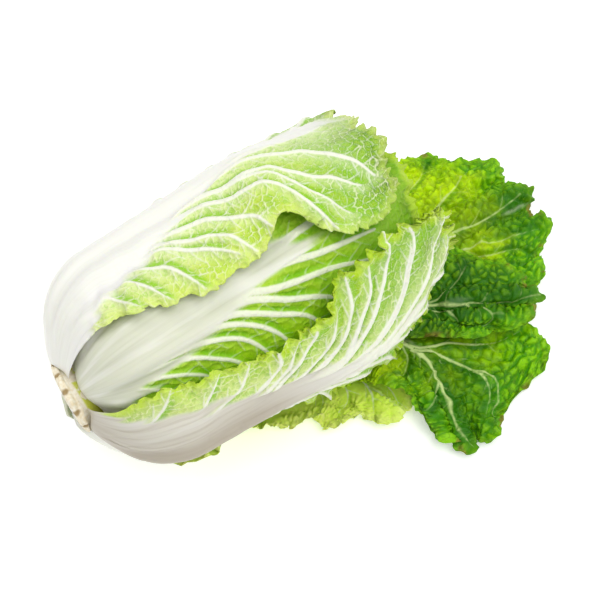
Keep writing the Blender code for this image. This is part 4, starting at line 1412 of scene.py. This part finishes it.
def leaf_piece(one, seed):
    """The fine, closed mesh of a leaf, with its marks."""
    random = np.random.default_rng(seed)
    u, v = fine_shares(one)
    hidden, shown = plain_faces(one, u, v)
    marks = marks_of(one, u, v, shown, random)
    face, both = relief_of(one, u, v, shown, marks)
    way = facing(one, shown)
    frill = frill_of(one, u, v, shown, way, marks)
    flesh = MARGIN_FLESH + (1 - MARGIN_FLESH) * ease(marks["edge"], 0, MARGIN_THINS)
    hidden = shown + (hidden - shown) * flesh[..., None] + way * both[..., None] + frill
    shown = shown + way * (face + both)[..., None] + frill
    hidden[..., 2] = np.maximum(hidden[..., 2], LEAST_HEIGHT["hidden"])
    shown[..., 2] = np.maximum(shown[..., 2], LEAST_HEIGHT["shown"])
    rows, columns = one.grid
    hidden = hidden[::2, ::2]
    count = shown.shape[0] * shown.shape[1]
    faces = grid_faces(rows, columns, 0, not one.path)
    faces += grid_faces(rows // 2, columns // 2, count, bool(one.path))
    rims = ring_of(rows, columns, 0), ring_of(rows // 2, columns // 2, count)
    faces += stitched(*rims, not one.path)
    marks["edge"] = ease(marks["edge"], 0, RIM_WIDTH)
    marks["green"] = np.clip(curve(one.green, u) + one.green_across * v, 0, 2)
    place = np.stack([travel_along(one, u, v), v * one.paces[1].mean(), np.zeros(u.shape)], axis=-1)
    both_faces = {}
    for key in MARK_NAMES:
        both_faces[key] = np.concatenate([marks[key].ravel(), marks[key][::2, ::2].ravel()])
    points = np.concatenate([shown.reshape(-1, 3), hidden.reshape(-1, 3)])
    place = np.concatenate([place.reshape(-1, 3), place[::2, ::2].reshape(-1, 3)])
    return new_piece(one.name + "_fine", points, faces, both_faces, place)


print("a leaf's mesh carries the marks", ", ".join(MARK_NAMES))

# %% [markdown]
# ## Looks of the leaves
# A cabbage leaf is living tissue: a thick, wet, nearly white rib that shines like satin, and a thin waxy
# blade that scatters light. Every kind of leaf has the same make, so one recipe serves them all, and a
# row of sRGB colours and shares tells them apart. The outer leaves grew in the sun and are deep green and
# blistered; the wrapped ones never saw it and stayed pale and lime.

# %% Looks of the leaves


def leaf_look(name, **changes):
    """The look of one kind of leaf. The colours are sRGB hex values, the sizes are in mm.

    lime is the young blade and deep the grown one; top is on the cells' middles, and on the outer leaves it
    is a painted highlight on the blisters; valley is the furrows' deeper green with painted shade in it,
    and young_valley that of a young blade; net is on the fine lines, and on the outer leaves it is painted
    shade in the creases; vein is on the thick ones, rim on the margin; flesh is the rib, and shade is on its
    fibres and in its painted shade. The shares say how strongly each is laid on. crumple is the depth of
    the wrinkles in the blade's bump and mottle how dark the painted shade in them is; browning is for dry
    rims, specks for dry spots, and low_shade paints shade on the rib, low down and towards the stem.
    """
    look = dict(name=name, young_valley=None, rim_share=0.6, net_share=0.5, net_mm=0.8, fine_share=0.2,
                thin_share=0.6, halo=0.5, pale_share=0.75, top_share=0.3, crumple=0.5, mottle=0.4,
                rough=0.46, gloss=0.4, browning=0.0, specks=0.0, low_shade=0.0)
    look.update(changes)
    return SimpleNamespace(**look)


LOOKS = {
    "head": leaf_look(
        "cabbage_leaf_pale", lime="#c8e04c", deep="#6cb000", top="#b8dc2c", valley="#8ac800", net="#ecf3c4",
        vein="#f1f3e2", flesh="#f0f0e8", shade="#e6e6da", rim="#e0f07c", rim_share=0.4, net_share=0.75,
        net_mm=0.65, pale_share=0.5, top_share=0.45),
    # The near rib's flesh is a greyer, warmer white than the far leaf's: painted shade.
    "near": leaf_look(
        "cabbage_leaf_near", lime="#bcda30", deep="#70b000", top="#a8d414", valley="#84c400", net="#ecf4b8",
        vein="#f4f5e6", flesh="#e4e2d6", shade="#a89c88", rim="#c8e818", net_share=0.75, net_mm=0.65,
        pale_share=0.45, top_share=0.5, low_shade=0.85),
    # The front rib's flesh is a greyer white than the far leaf's: painted shade.
    "front": leaf_look(
        "cabbage_leaf_lime", lime="#a8d410", deep="#74b404", top="#98cc08", valley="#78bc00", net="#cce860",
        vein="#eef1da", flesh="#dadcc8", shade="#c8cab2", rim="#ccea44", net_share=0.25, fine_share=0.06,
        thin_share=0.3, gloss=0.28, halo=0.22, pale_share=0.25),
    "back": leaf_look(
        "cabbage_leaf_mid_green", lime="#9cd018", deep="#4c9c04", top="#88c80c", valley="#4c9400",
        net="#cfe47c", vein="#e4eec0", flesh="#ecede0", shade="#dde2c6", rim="#a4d028", net_share=0.6),
    "inner": leaf_look(
        "cabbage_leaf_yellow", lime="#e2e98c", deep="#bcd850", top="#d8e474", valley="#c6da58", net="#f2f4c0",
        vein="#f4f4dc", flesh="#efefe2", shade="#e4e6cc", rim="#e9ee90"),
    # On these leaves top is a painted highlight on the blisters, and valley, net and mottle paint shade
    # beside the veins, in the creases and in the wrinkles.
    "loose": leaf_look(
        "cabbage_leaf_deep_green", lime="#dcfa04", deep="#58b000", top="#b0ec00", valley="#2c7000",
        young_valley="#88bc00", net="#226400", vein="#d4e898", flesh="#eaeed6", shade="#d7e0b8",
        rim="#90c420", rim_share=0.2, net_share=0.45, net_mm=2.4, fine_share=0.05, thin_share=0.3, halo=0.0,
        top_share=0.5, crumple=1.5, rough=0.48, gloss=0.3, browning=0.7, specks=0.6),
    # As on the loose leaves, top is a painted highlight on the blisters, and valley, net and mottle paint
    # shade.
    "bottom": leaf_look(
        "cabbage_leaf_yellow_green", lime="#f0ff6c", deep="#c8f030", top="#f6ff88", valley="#ccec40",
        net="#cdf04c", vein="#fcfff0", flesh="#eeeee2", shade="#dde2c6", rim="#f0ff90", rim_share=0.5,
        net_share=0.3, net_mm=1.6, fine_share=0.1, thin_share=0.4, halo=0.0, top_share=0.5, crumple=1.0,
        mottle=0.15, gloss=0.3, browning=0.4, specks=0.3),
}
print("looks of", ", ".join(LOOKS))

# %% [markdown]
# ## Lines of a blade
# The marks are distances in millimetres, so a line is drawn by choosing where it ends: a soft step from
# one to nought. A little noise is added to the distance first, because no vein has a ruled edge. The
# finest net is only half a millimetre wide on the real leaf; it is drawn at 2.3 mm, the finest that
# this picture can show.

# %% Lines of a blade
GRAIN_MM = 4
FINE_NET_MM = 2.3
VEIN_SOFT = 0.9


def leaf_lines(tree, look, spot, marks):
    """The lines drawn on a blade, each 1 on the line: the veins, the thin veins, the net, the finest net."""
    grain = add(tree, "TexNoise", {"Vector": spot, "Scale": 1000 / GRAIN_MM, "Detail": 2.0}, "Fac")
    wander = add(tree, "MapRange", {0: grain, 1: 0.3, 2: 0.7, 3: -0.12, 4: 0.12}, **EASED)
    cells = add(tree, "TexVoronoi", {"Vector": spot, "Scale": 1000 / FINE_NET_MM}, "Distance",
                feature="DISTANCE_TO_EDGE")
    lines = {"fine": add(tree, "MapRange", {0: cells, 1: 0.0, 2: 0.10, 3: 1.0, 4: 0.0}, **EASED)}
    for name, start, end in (("vein", -VEIN_SOFT, 0.45), ("thin", -0.30, 0.55), ("net", 0.1, look.net_mm)):
        away = add(tree, "Math", {0: marks[name + "_mm"], 1: wander}, operation="ADD")
        lines[name] = add(tree, "MapRange", {0: away, 1: start, 2: end, 3: 1.0, 4: 0.0}, **EASED)
    return lines


print("the finest net is drawn", FINE_NET_MM, "mm wide")

# %% [markdown]
# ## The blade's colours
# The blade's green comes from chlorophyll, which is thick between the veins and in the furrows and thin
# near the rib. So the greens go on first, by how green the leaf is there; then the middles of the cells,
# which on the outer leaves are a painted highlight on the blisters; the pale slopes; the furrows' deeper
# green with painted shade in it, and painted shade in the wrinkles; last the lines, from the finest net,
# which on the outer leaves is painted shade in the creases, to the thick veins. Dry rims and specks are
# where a leaf has begun to wilt.

# %% The blade's colours
BLOTCH_MM = 16
SPECK_MM = 9
FURROW_SHARE = 0.97
VEIN_SHARE = 0.95
# The green past 1 goes to this; on loose_leaf_1 it is partly painted shade near the head.
DARKEST_GREEN_AND_SHADE = "#0f4a00"
DRY_RIM = "#8a7230"
DRY_SPECK = "#8a7438"


def blade_colour(tree, look, spot, marks, lines, creased):
    """The blade's colour, from its broad greens to its finest lines."""
    blotch = add(tree, "TexNoise", {"Vector": spot, "Scale": 1000 / BLOTCH_MM, "Detail": 3.0}, "Fac")
    uneven_green = add(tree, "MapRange", {0: blotch, 1: 0.3, 2: 0.7, 3: -0.22, 4: 0.22}, **EASED)
    green = add(tree, "Math", {0: marks["green"], 1: uneven_green}, operation="ADD")
    # The furrows' colour: a deeper green, darkened further as painted shade; young_valley on a young blade.
    furrow_green_and_shade = paint(tree, look.young_valley or look.valley, [(green, (0.0, 0.8, 0.0, 1.0), look.valley)])
    faded = add(tree, "MapRange", {0: blotch, 1: 0.35, 2: 0.6, 3: 0.5 * look.net_share, 4: look.net_share},
                **EASED)
    layers = [
        (green, (0.0, 1.0, 0.0, 1.0), look.deep),
        (green, (1.0, 2.0, 0.0, 1.0), DARKEST_GREEN_AND_SHADE),
        # On the outer leaves this is a painted highlight on the blisters' tops.
        (marks["cell"], look.top_share, look.top),
        (marks["pale"], look.pale_share, look.net),
        (marks["shoulder"], look.halo, look.net),
        (marks["furrow"], FURROW_SHARE, furrow_green_and_shade),
        # Painted shade in the wrinkles, darkest where the bump is lowest.
        (creased, (0.50, 0.64, 0.0, look.mottle), furrow_green_and_shade),
        # On the outer leaves the net colour is painted shade in the creases between the blisters.
        (lines["net"], faded, look.net),
        (lines["fine"], look.fine_share, look.net),
        (marks["edge"], (0.0, 0.35, look.rim_share, 0.0), look.rim),
    ]
    if look.browning:
        dry_edge = add(tree, "MapRange", {0: marks["edge"], 1: 0.02, 2: 0.16, 3: look.browning, 4: 0.0},
                       **EASED)
        dry_patch = add(tree, "MapRange", {0: blotch, 1: 0.54, 2: 0.62}, **EASED)
        layers.append((dry_edge, dry_patch, DRY_RIM))
    layers += [(lines["thin"], look.thin_share, look.vein), (lines["vein"], VEIN_SHARE, look.vein)]
    return paint(tree, look.lime, layers)


def specked(tree, look, spot, base):
    """The leaf's colour with a few dry specks on it."""
    at = {"Vector": spot, "Scale": 1000 / SPECK_MM}
    away = add(tree, "TexVoronoi", at, "Distance")
    chance = add(tree, "SeparateColor", {0: add(tree, "TexVoronoi", at, "Color")})
    dot = add(tree, "MapRange", {0: away, 1: 0.05, 2: 0.14, 3: look.specks, 4: 0.0}, **EASED)
    chosen = add(tree, "MapRange", {0: chance, 1: 0.80, 2: 0.84}, **EASED)
    return paint(tree, base, [(dot, chosen, DRY_SPECK)])


print("greens change over", BLOTCH_MM, "mm, dry specks come within", SPECK_MM, "mm of each other")

# %% [markdown]
# ## The rib's colours
# The rib is white because its large cells hold water and air and no green. Bundles of fibre run along it
# about a millimetre apart, and broad soft bands where it bends catch the light. Both are noise drawn out
# along the leaf, read from a place that travels with the mesh instead of from the room.

# %% The rib's colours
FLESH_FIBRE_MM = 0.9
FLESH_BAND_MM = 11
FIBRE_ALONG = 12.0
BAND_ALONG = 9.0
RIB_GLEAM = "#f4f4ec"
# Where the painted shade on the rib starts and where it is full: in height, and along the head towards the
# stem.
LOW_Z = (0.155, 0.085)
LOW_X = (0.040, -0.060)


def rib_colour(tree, look, spot):
    """The rib's colour, and the fibres that its bump follows."""
    place = add(tree, "Attribute", out="Vector", attribute_name="place")
    drawn = add(tree, "VectorMath", {0: place, 1: (FIBRE_ALONG, 1000 / FLESH_FIBRE_MM / 3, 1.0)}, **TIMES)
    fibre = add(tree, "TexNoise", {"Vector": drawn, "Scale": 1.0, "Detail": 3.0}, "Fac")
    drawn = add(tree, "VectorMath", {0: place, 1: (BAND_ALONG, 1000 / FLESH_BAND_MM, 1.0)}, **TIMES)
    band = add(tree, "TexNoise", {"Vector": drawn, "Scale": 1.0, "Detail": 2.0}, "Fac")
    layers = [(fibre, (0.40, 1.0, 0.0, 1.0), look.shade), (band, (0.45, 0.70, 0.0, 0.6), RIB_GLEAM)]
    # Painted shade: the rib darker low down and towards the stem, read from the object's coordinates.
    if look.low_shade:
        low = [add(tree, "MapRange", {0: add(tree, "SeparateXYZ", {0: spot}, axis), 1: start, 2: end},
                   **EASED)
               for axis, (start, end) in (("Z", LOW_Z), ("X", LOW_X))]
        layers.append((add(tree, "Math", {0: low[0], 1: low[1]}, **TIMES), look.low_shade, look.shade))
    return paint(tree, look.flesh, layers), fibre


print("fibres", FLESH_FIBRE_MM, "mm apart on the rib, bands", FLESH_BAND_MM, "mm")

# %% [markdown]
# ## Leaf finish
# Blade and rib meet where the mark for flesh says. Plant tissue bends light a little more than water
# does, so the IOR is 1.42; the wax on the blade makes it rougher than the wet rib; and some light goes
# in and comes out again, mostly green, which keeps the shaded sides from turning grey.

# %% Leaf finish
CRUMPLE_MM = 5
RIB_ROUGH = 0.34
LINE_HEIGHTS = {"vein": 0.6, "thin": 0.35, "net": 0.4, "fine": 0.15}
FIBRE_HEIGHT = 0.15
LEAF_BUMP = {"Distance": 0.0007, "Strength": 0.6}
TISSUE_IOR = 1.42
TISSUE_GLOW = {"Subsurface Weight": 0.12, "Subsurface Scale": 0.003, "Subsurface Radius": (0.7, 1.0, 0.3)}


def leaf_finish(look):
    """The material of one kind of leaf."""
    made, tree, shader = new_material(look.name)
    spot = add(tree, "TexCoord", out="Object")
    marks = {name: add(tree, "Attribute", out="Fac", attribute_name=name) for name in MARK_NAMES}
    lines = leaf_lines(tree, look, spot, marks)
    creased = add(tree, "TexNoise", {"Vector": spot, "Scale": 1000 / CRUMPLE_MM, "Detail": 3.0,
                                     "Distortion": 1.2}, "Fac")
    blade = blade_colour(tree, look, spot, marks, lines, creased)
    rib, fibre = rib_colour(tree, look, spot)
    base = add(tree, "Mix", {0: marks["flesh"], 6: blade, 7: rib}, **OVER)
    tree.links.new(specked(tree, look, spot, base) if look.specks else base, shader.inputs["Base Color"])
    rough = add(tree, "MapRange", {0: marks["flesh"], 1: 0.0, 2: 1.0, 3: look.rough, 4: RIB_ROUGH}, **EASED)
    tree.links.new(rough, shader.inputs["Roughness"])
    height = add(tree, "Math", {0: creased, 1: -look.crumple}, **TIMES)
    for name, high in LINE_HEIGHTS.items():
        height = add(tree, "Math", {0: lines[name], 1: high, 2: height}, operation="MULTIPLY_ADD")
    fibre = add(tree, "Math", {0: fibre, 1: FIBRE_HEIGHT}, **TIMES)
    height = add(tree, "Mix", {0: marks["flesh"], 2: height, 3: fibre})
    bump = add(tree, "Bump", {"Height": height, **LEAF_BUMP})
    tree.links.new(bump, shader.inputs["Normal"])
    for name, value in {"IOR": TISSUE_IOR, "Specular IOR Level": look.gloss, **TISSUE_GLOW}.items():
        shader.inputs[name].default_value = value
    return made


FINISHES = {kind: leaf_finish(look) for kind, look in LOOKS.items()}
print("leaf finishes", sorted(made.name for made in FINISHES.values()))

# %% [markdown]
# ## The heart
# Inside the wrapping leaves the head is packed leaf on leaf. Only short tips of it can be glimpsed at the
# far end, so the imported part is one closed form, folded a little at its end, and six separate tips
# stand over it as thin sheets.

# %% Closed forms


def joined(parts):
    """Several (points, faces) put together as one."""
    points, faces, count = [], [], 0
    for some, few in parts:
        points.append(some)
        faces += [tuple(k + count for k in face) for face in few]
        count += len(some)
    return np.concatenate(points), faces


def ringed(rings, start, end):
    """Points and faces of a closed form through rings of points."""
    count, sides = rings.shape[:2]
    index = np.arange(count * sides).reshape(count, sides)
    turned = np.roll(index, -1, axis=1)
    quads = np.stack([index[:-1], turned[:-1], turned[1:], index[1:]], axis=-1).reshape(-1, 4).tolist()
    caps = [(count * sides, b, a) for a, b in zip(index[0], turned[0])]
    caps += [(count * sides + 1, a, b) for a, b in zip(index[-1], turned[-1])]
    return np.concatenate([rings.reshape(-1, 3), [start], [end]]), quads + caps


square_ends = np.array([[[x, y, z] for x, y in ((0, 0), (1, 0), (1, 1), (0, 1))] for z in (0.0, 1.0)])
print("a closed box of rings has", len(ringed(square_ends, (0.5, 0.5, 0.0), (0.5, 0.5, 1.0))[1]), "faces")

# %% The heart's core
CORE_ROWS = 120
CORE_SIDES = 150
WOUND_LEAVES = 3
WOUND_STEP = 0.0022
WOUND_PITCH = 45
CORE_BLUNT = 1.7
CORE_FOLD = 0.0008
CORE_FOLDS = 9


def core_form():
    """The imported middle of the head, with shallow folds that run along it."""
    share = np.linspace(0, 1, CORE_ROWS)
    along = LEAF_START + (HEART_ALONG_END - 0.002 - LEAF_START) * (1 - (1 - share) ** CORE_BLUNT)
    angle = np.arange(CORE_SIDES) * 2 * math.pi / CORE_SIDES
    along, angle = np.meshgrid(along, angle, indexing="ij")
    fold = CORE_FOLD * np.sin(CORE_FOLDS * angle + 14 * along / HEART_ALONG_END) * ease(along, 0.10, 0.2)
    depth = curve(HEART_PROFILE, along) - np.abs(fold) * ease(-along, -0.275, -0.25)
    wound = WOUND_LEAVES * angle / (2 * math.pi) + WOUND_PITCH * along
    wound = (wound + 0.08 * np.sin(7 * angle + 60 * along)) % 1
    depth = depth - WOUND_STEP * wound ** 2 * ease(along, 0.205, 0.235) * ease(-along, -0.27, -0.25)
    sunk = 1.6 * WOUND_STEP * wound ** 2 * ease(along, 0.235, 0.262) * ease(-along, -0.2765, -0.272)
    rings = on_head(along - sunk, angle, depth)
    end = on_head(np.array(HEART_ALONG_END + 0.002), np.array(0.0), np.array(-RING_RADIUS))
    return ringed(rings, rings[0].mean(0), end)


core = core_form()
print("the core reaches", round(float(core[0][:, 0].max()) * 1000), "mm past the middle of the head")

# %% The heart's tips
TIP_ROWS = 48
TIP_COLUMNS = 48


def tip_form(whorl, angle):
    """One thin leaf tip that grows out of the heart."""
    along, turn, inner, outer = heart_tip_sheet(whorl, angle, TIP_ROWS, TIP_COLUMNS)
    ridge = 0.0004 * np.abs(np.sin(30 * (turn - angle) + 60 * along)) * ease(along, 0.2, 0.25)
    low, high = on_head(along, turn, inner), on_head(along, turn, outer + ridge)
    count = low.shape[0] * low.shape[1]
    faces = grid_faces(TIP_ROWS, TIP_COLUMNS, 0, False) + grid_faces(TIP_ROWS, TIP_COLUMNS, count, True)
    ring, over = ring_of(TIP_ROWS, TIP_COLUMNS, 0), ring_of(TIP_ROWS, TIP_COLUMNS, count)
    for k in range(len(ring)):
        following = (k + 1) % len(ring)
        faces.append((ring[k], ring[following], over[following], over[k]))
    return np.concatenate([low.reshape(-1, 3), high.reshape(-1, 3)]), faces


tips = [tip_form(whorl, angle) for whorl, angle in heart_tip_places()]
print(len(tips), "tips of", len(tips[0][1]), "faces each")

# %% [markdown]
# ## Heart finish
# The heart's leaves grew in the dark, so they hold hardly any chlorophyll: tender yellow flesh, full of
# water, paler towards the stem and greener where light reached the tips. It shines a little more than
# the waxy outer blades, and its net of veins is paler than the flesh between.

# %% Heart finish
HEART_TONE_MM = 14.29
HEART_NET_MM = 3.85


def heart_finish():
    """Tender yellow leaf flesh, paler towards the stem, with a faint net of veins: soft and moist."""
    made, tree, shader = new_material("cabbage_heart_yellow")
    spot = add(tree, "TexCoord", out="Object")
    along = add(tree, "SeparateXYZ", {0: spot}, "X")
    tone = add(tree, "TexNoise", {"Vector": spot, "Scale": 1000 / HEART_TONE_MM, "Detail": 4.0}, "Fac")
    cells = add(tree, "TexVoronoi", {"Vector": spot, "Scale": 1000 / HEART_NET_MM}, "Distance",
                feature="DISTANCE_TO_EDGE")
    tint = paint(tree, "#f6f6dc", [
        (along, (0.02, 0.14, 0.0, 1.0), "#eef48c"),
        (tone, (0.35, 0.7, 0.0, 1.0), "#d8ec5c"),
        (cells, (0.0, 0.10, 0.8, 0.0), "#fbfbe6"),
    ])
    tree.links.new(tint, shader.inputs["Base Color"])
    bump = add(tree, "Bump", {"Height": cells, "Distance": 0.0008, "Strength": 0.7})
    tree.links.new(bump, shader.inputs["Normal"])
    shader.inputs["Roughness"].default_value = 0.42
    shader.inputs["IOR"].default_value = TISSUE_IOR
    return made


tender_leaf = heart_finish()
print(tender_leaf.name, "has", len(tender_leaf.node_tree.nodes), "nodes")

# %% Hand over the heart


def settle(piece, node, finish):
    """Hands a piece over: gives it its finish and its body, and hides the solid of the node that it stands
    for.
    """
    piece.data.materials.append(finish)
    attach(piece, "root")
    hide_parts(node)
    return piece


heart = settle(new_piece("heart_fine", *joined([core] + tips)), "heart", tender_leaf)
print("heart has", len(heart.data.polygons), "faces")

# %% [markdown]
# ## The cut stem
# The stem was sliced through with a knife, and the outermost leaves were snapped off round it, so its end
# is a flat pale disc inside a collar of knobbly scars, browned in the gaps. The collar is made in the
# mesh; a bump map would leave its outline round, and its outline is what the photograph shows.

# %% Collar of scars
CUT_END_X = -HEAD_LENGTH / 2 - 0.0045
CUT_SLANT_Y = 0.13
CUT_SLANT_Z = -0.12
STEM_RADIUS = 0.0265
STEM_END_X = -0.1253
SCARS = 11
STEM_SIDES = 15 * SCARS
COLLAR_ROWS = 26
COLLAR_LENGTH = 0.0062
KNOB_HEIGHT = 0.0026


def stem_ring(x, reach, angle):
    """Points round the stem, aslant near its cut end."""
    y, up = -reach * np.sin(angle), reach * np.cos(angle)
    slant = (CUT_SLANT_Y * y + CUT_SLANT_Z * up) * (1 - ease(x, CUT_END_X, STEM_END_X))
    return np.stack([x + slant, y, AXIS_HEIGHT + up], axis=1)


def collar_rows():
    """Rings from the cut face's edge over the collar of scars and back into the head."""
    angle = np.arange(STEM_SIDES) * 2 * math.pi / STEM_SIDES
    wobble = 0.6 * np.sin(2 * angle + 0.6) + 0.5 * np.sin(3 * angle + 2.0)
    knob = np.clip(np.cos(SCARS * angle + wobble) * 0.5 + 0.5, 0, 1) ** 0.5
    rings, gaps = [], []
    for share in np.linspace(0, 1, COLLAR_ROWS):
        crown = math.sin(math.pi * min(1, 0.12 + share * 0.95)) ** 0.8
        reach = STEM_RADIUS * (0.90 + 0.08 * ease(share, 0, 0.25)) + KNOB_HEIGHT * knob * crown
        reach = reach + 0.0005 * np.sin(SCARS / 2 * angle + 9 * share)
        rings.append(stem_ring(CUT_END_X + 0.0002 + share * COLLAR_LENGTH, reach, angle))
        gaps.append((1 - knob) * (0.4 + 0.6 * crown))
    return rings, gaps


print(SCARS, "scars round a stem", round(2000 * STEM_RADIUS), "mm across")

# %% Stem form
FACE_ROWS = 22
BACK_ROWS = 12


def stem_form():
    """The stem: its cut face, its collar, and the part that runs into the head."""
    rings, gaps = collar_rows()
    angle = np.arange(STEM_SIDES) * 2 * math.pi / STEM_SIDES
    face, face_gaps = [], []
    for share in np.linspace(0.06, 0.97, FACE_ROWS):
        dish = 0.0003 * math.cos(9 * share) * share
        face.append(stem_ring(CUT_END_X + 0.0005 - 0.0004 * share + dish, STEM_RADIUS * 0.90 * share, angle))
        face_gaps.append(np.zeros(STEM_SIDES))
    back = [stem_ring(x, STEM_RADIUS * 0.95, angle)
            for x in np.linspace(CUT_END_X + COLLAR_LENGTH + 0.001, STEM_END_X, BACK_ROWS)]
    rings = np.array(face + rings + back)
    gaps = np.concatenate(face_gaps + gaps + [np.zeros(STEM_SIDES)] * len(back) + [[0.0, 0.0]])
    points, faces = ringed(rings, (CUT_END_X + 0.0006, 0, AXIS_HEIGHT), (STEM_END_X, 0, AXIS_HEIGHT))
    return points, faces, gaps


stem_points, stem_faces, stem_gaps = stem_form()
print("the stem is closed with", len(stem_faces), "faces")

# %% [markdown]
# ## Stem finish
# Cut pith is wet and cream at first and dries matt. Faint rings on the face show where bundles of fibre
# were sliced, the scars round it are corky and beige, and what lies between them has browned. Drying
# makes it the roughest surface of the cabbage, so it hardly shines.

# %% Stem finish
STEM_GRAIN_MM = 2.38
STEM_BLOT_MM = 9.09
STEM_RING_MM = 6.98


def stem_finish():
    """Pith, drying: cream with rings on the cut face, beige on the scars and brown in the gaps."""
    made, tree, shader = new_material("cabbage_stem_cut")
    spot = add(tree, "TexCoord", out="Object")
    x, y, z = [add(tree, "SeparateXYZ", {0: spot}, axis) for axis in "XYZ"]
    up = add(tree, "Math", {0: z, 1: AXIS_HEIGHT}, operation="SUBTRACT")
    away = add(tree, "VectorMath", {0: add(tree, "CombineXYZ", {0: y, 1: up})}, "Value", operation="LENGTH")
    grain = add(tree, "TexNoise", {"Vector": spot, "Scale": 1000 / STEM_GRAIN_MM, "Detail": 5.0}, "Fac")
    blot = add(tree, "TexNoise", {"Vector": spot, "Scale": 1000 / STEM_BLOT_MM, "Detail": 3.0}, "Fac")
    ringed_way = add(tree, "Math", {0: away, 1: 2000 * math.pi / STEM_RING_MM}, **TIMES)
    ringed_way = add(tree, "Math", {0: blot, 1: 6.0, 2: ringed_way}, operation="MULTIPLY_ADD")
    rings = add(tree, "Math", {0: ringed_way}, operation="SINE")
    pith = paint(tree, "#f6f3ec", [(rings, (-1.0, 1.0, 0.0, 1.0), "#efeae2"),
                                   (blot, (0.55, 0.8, 0.0, 1.0), "#e8dfd0")])
    scar = paint(tree, "#fbf4e0", [(grain, (0.35, 0.7, 0.0, 1.0), "#ecdcb8")])
    gap = add(tree, "Attribute", out="Fac", attribute_name="gap")
    behind = add(tree, "MapRange", {0: x, 1: CUT_END_X + 0.0052, 2: CUT_END_X + 0.0072}, **EASED)
    sliver = add(tree, "MapRange", {0: blot, 1: 0.42, 2: 0.5}, **EASED)
    tint = paint(tree, pith, [
        (away, (0.0242, 0.0256, 0.0, 1.0), scar),
        (gap, (0.42, 0.80, 0.0, 0.9), "#9c8048"),
        (behind, sliver, "#d2d84c"),
    ])
    tree.links.new(tint, shader.inputs["Base Color"])
    bump = add(tree, "Bump", {"Height": grain, "Distance": 0.0006, "Strength": 0.8})
    tree.links.new(bump, shader.inputs["Normal"])
    shader.inputs["Roughness"].default_value = 0.66
    shader.inputs["IOR"].default_value = 1.45
    return made


dried_pith = stem_finish()
print(dried_pith.name, "has", len(dried_pith.node_tree.nodes), "nodes")

# %% Hand over the stem
stem = settle(new_piece("stem_fine", stem_points, stem_faces, {"gap": stem_gaps}), "stem", dried_pith)
print("stem has", len(stem.data.polygons), "faces")

# %% [markdown]
# ## The leaves
# Now every leaf is grown from its measures and handed over in the place of its solid.

# %% Grow every leaf
for seed, one in enumerate(HEAD_LEAVES + LOOSE_LEAVES):
    piece = settle(leaf_piece(one, seed + 11), one.name, FINISHES[one.finish])
    print(piece.name, len(piece.data.polygons), "faces")
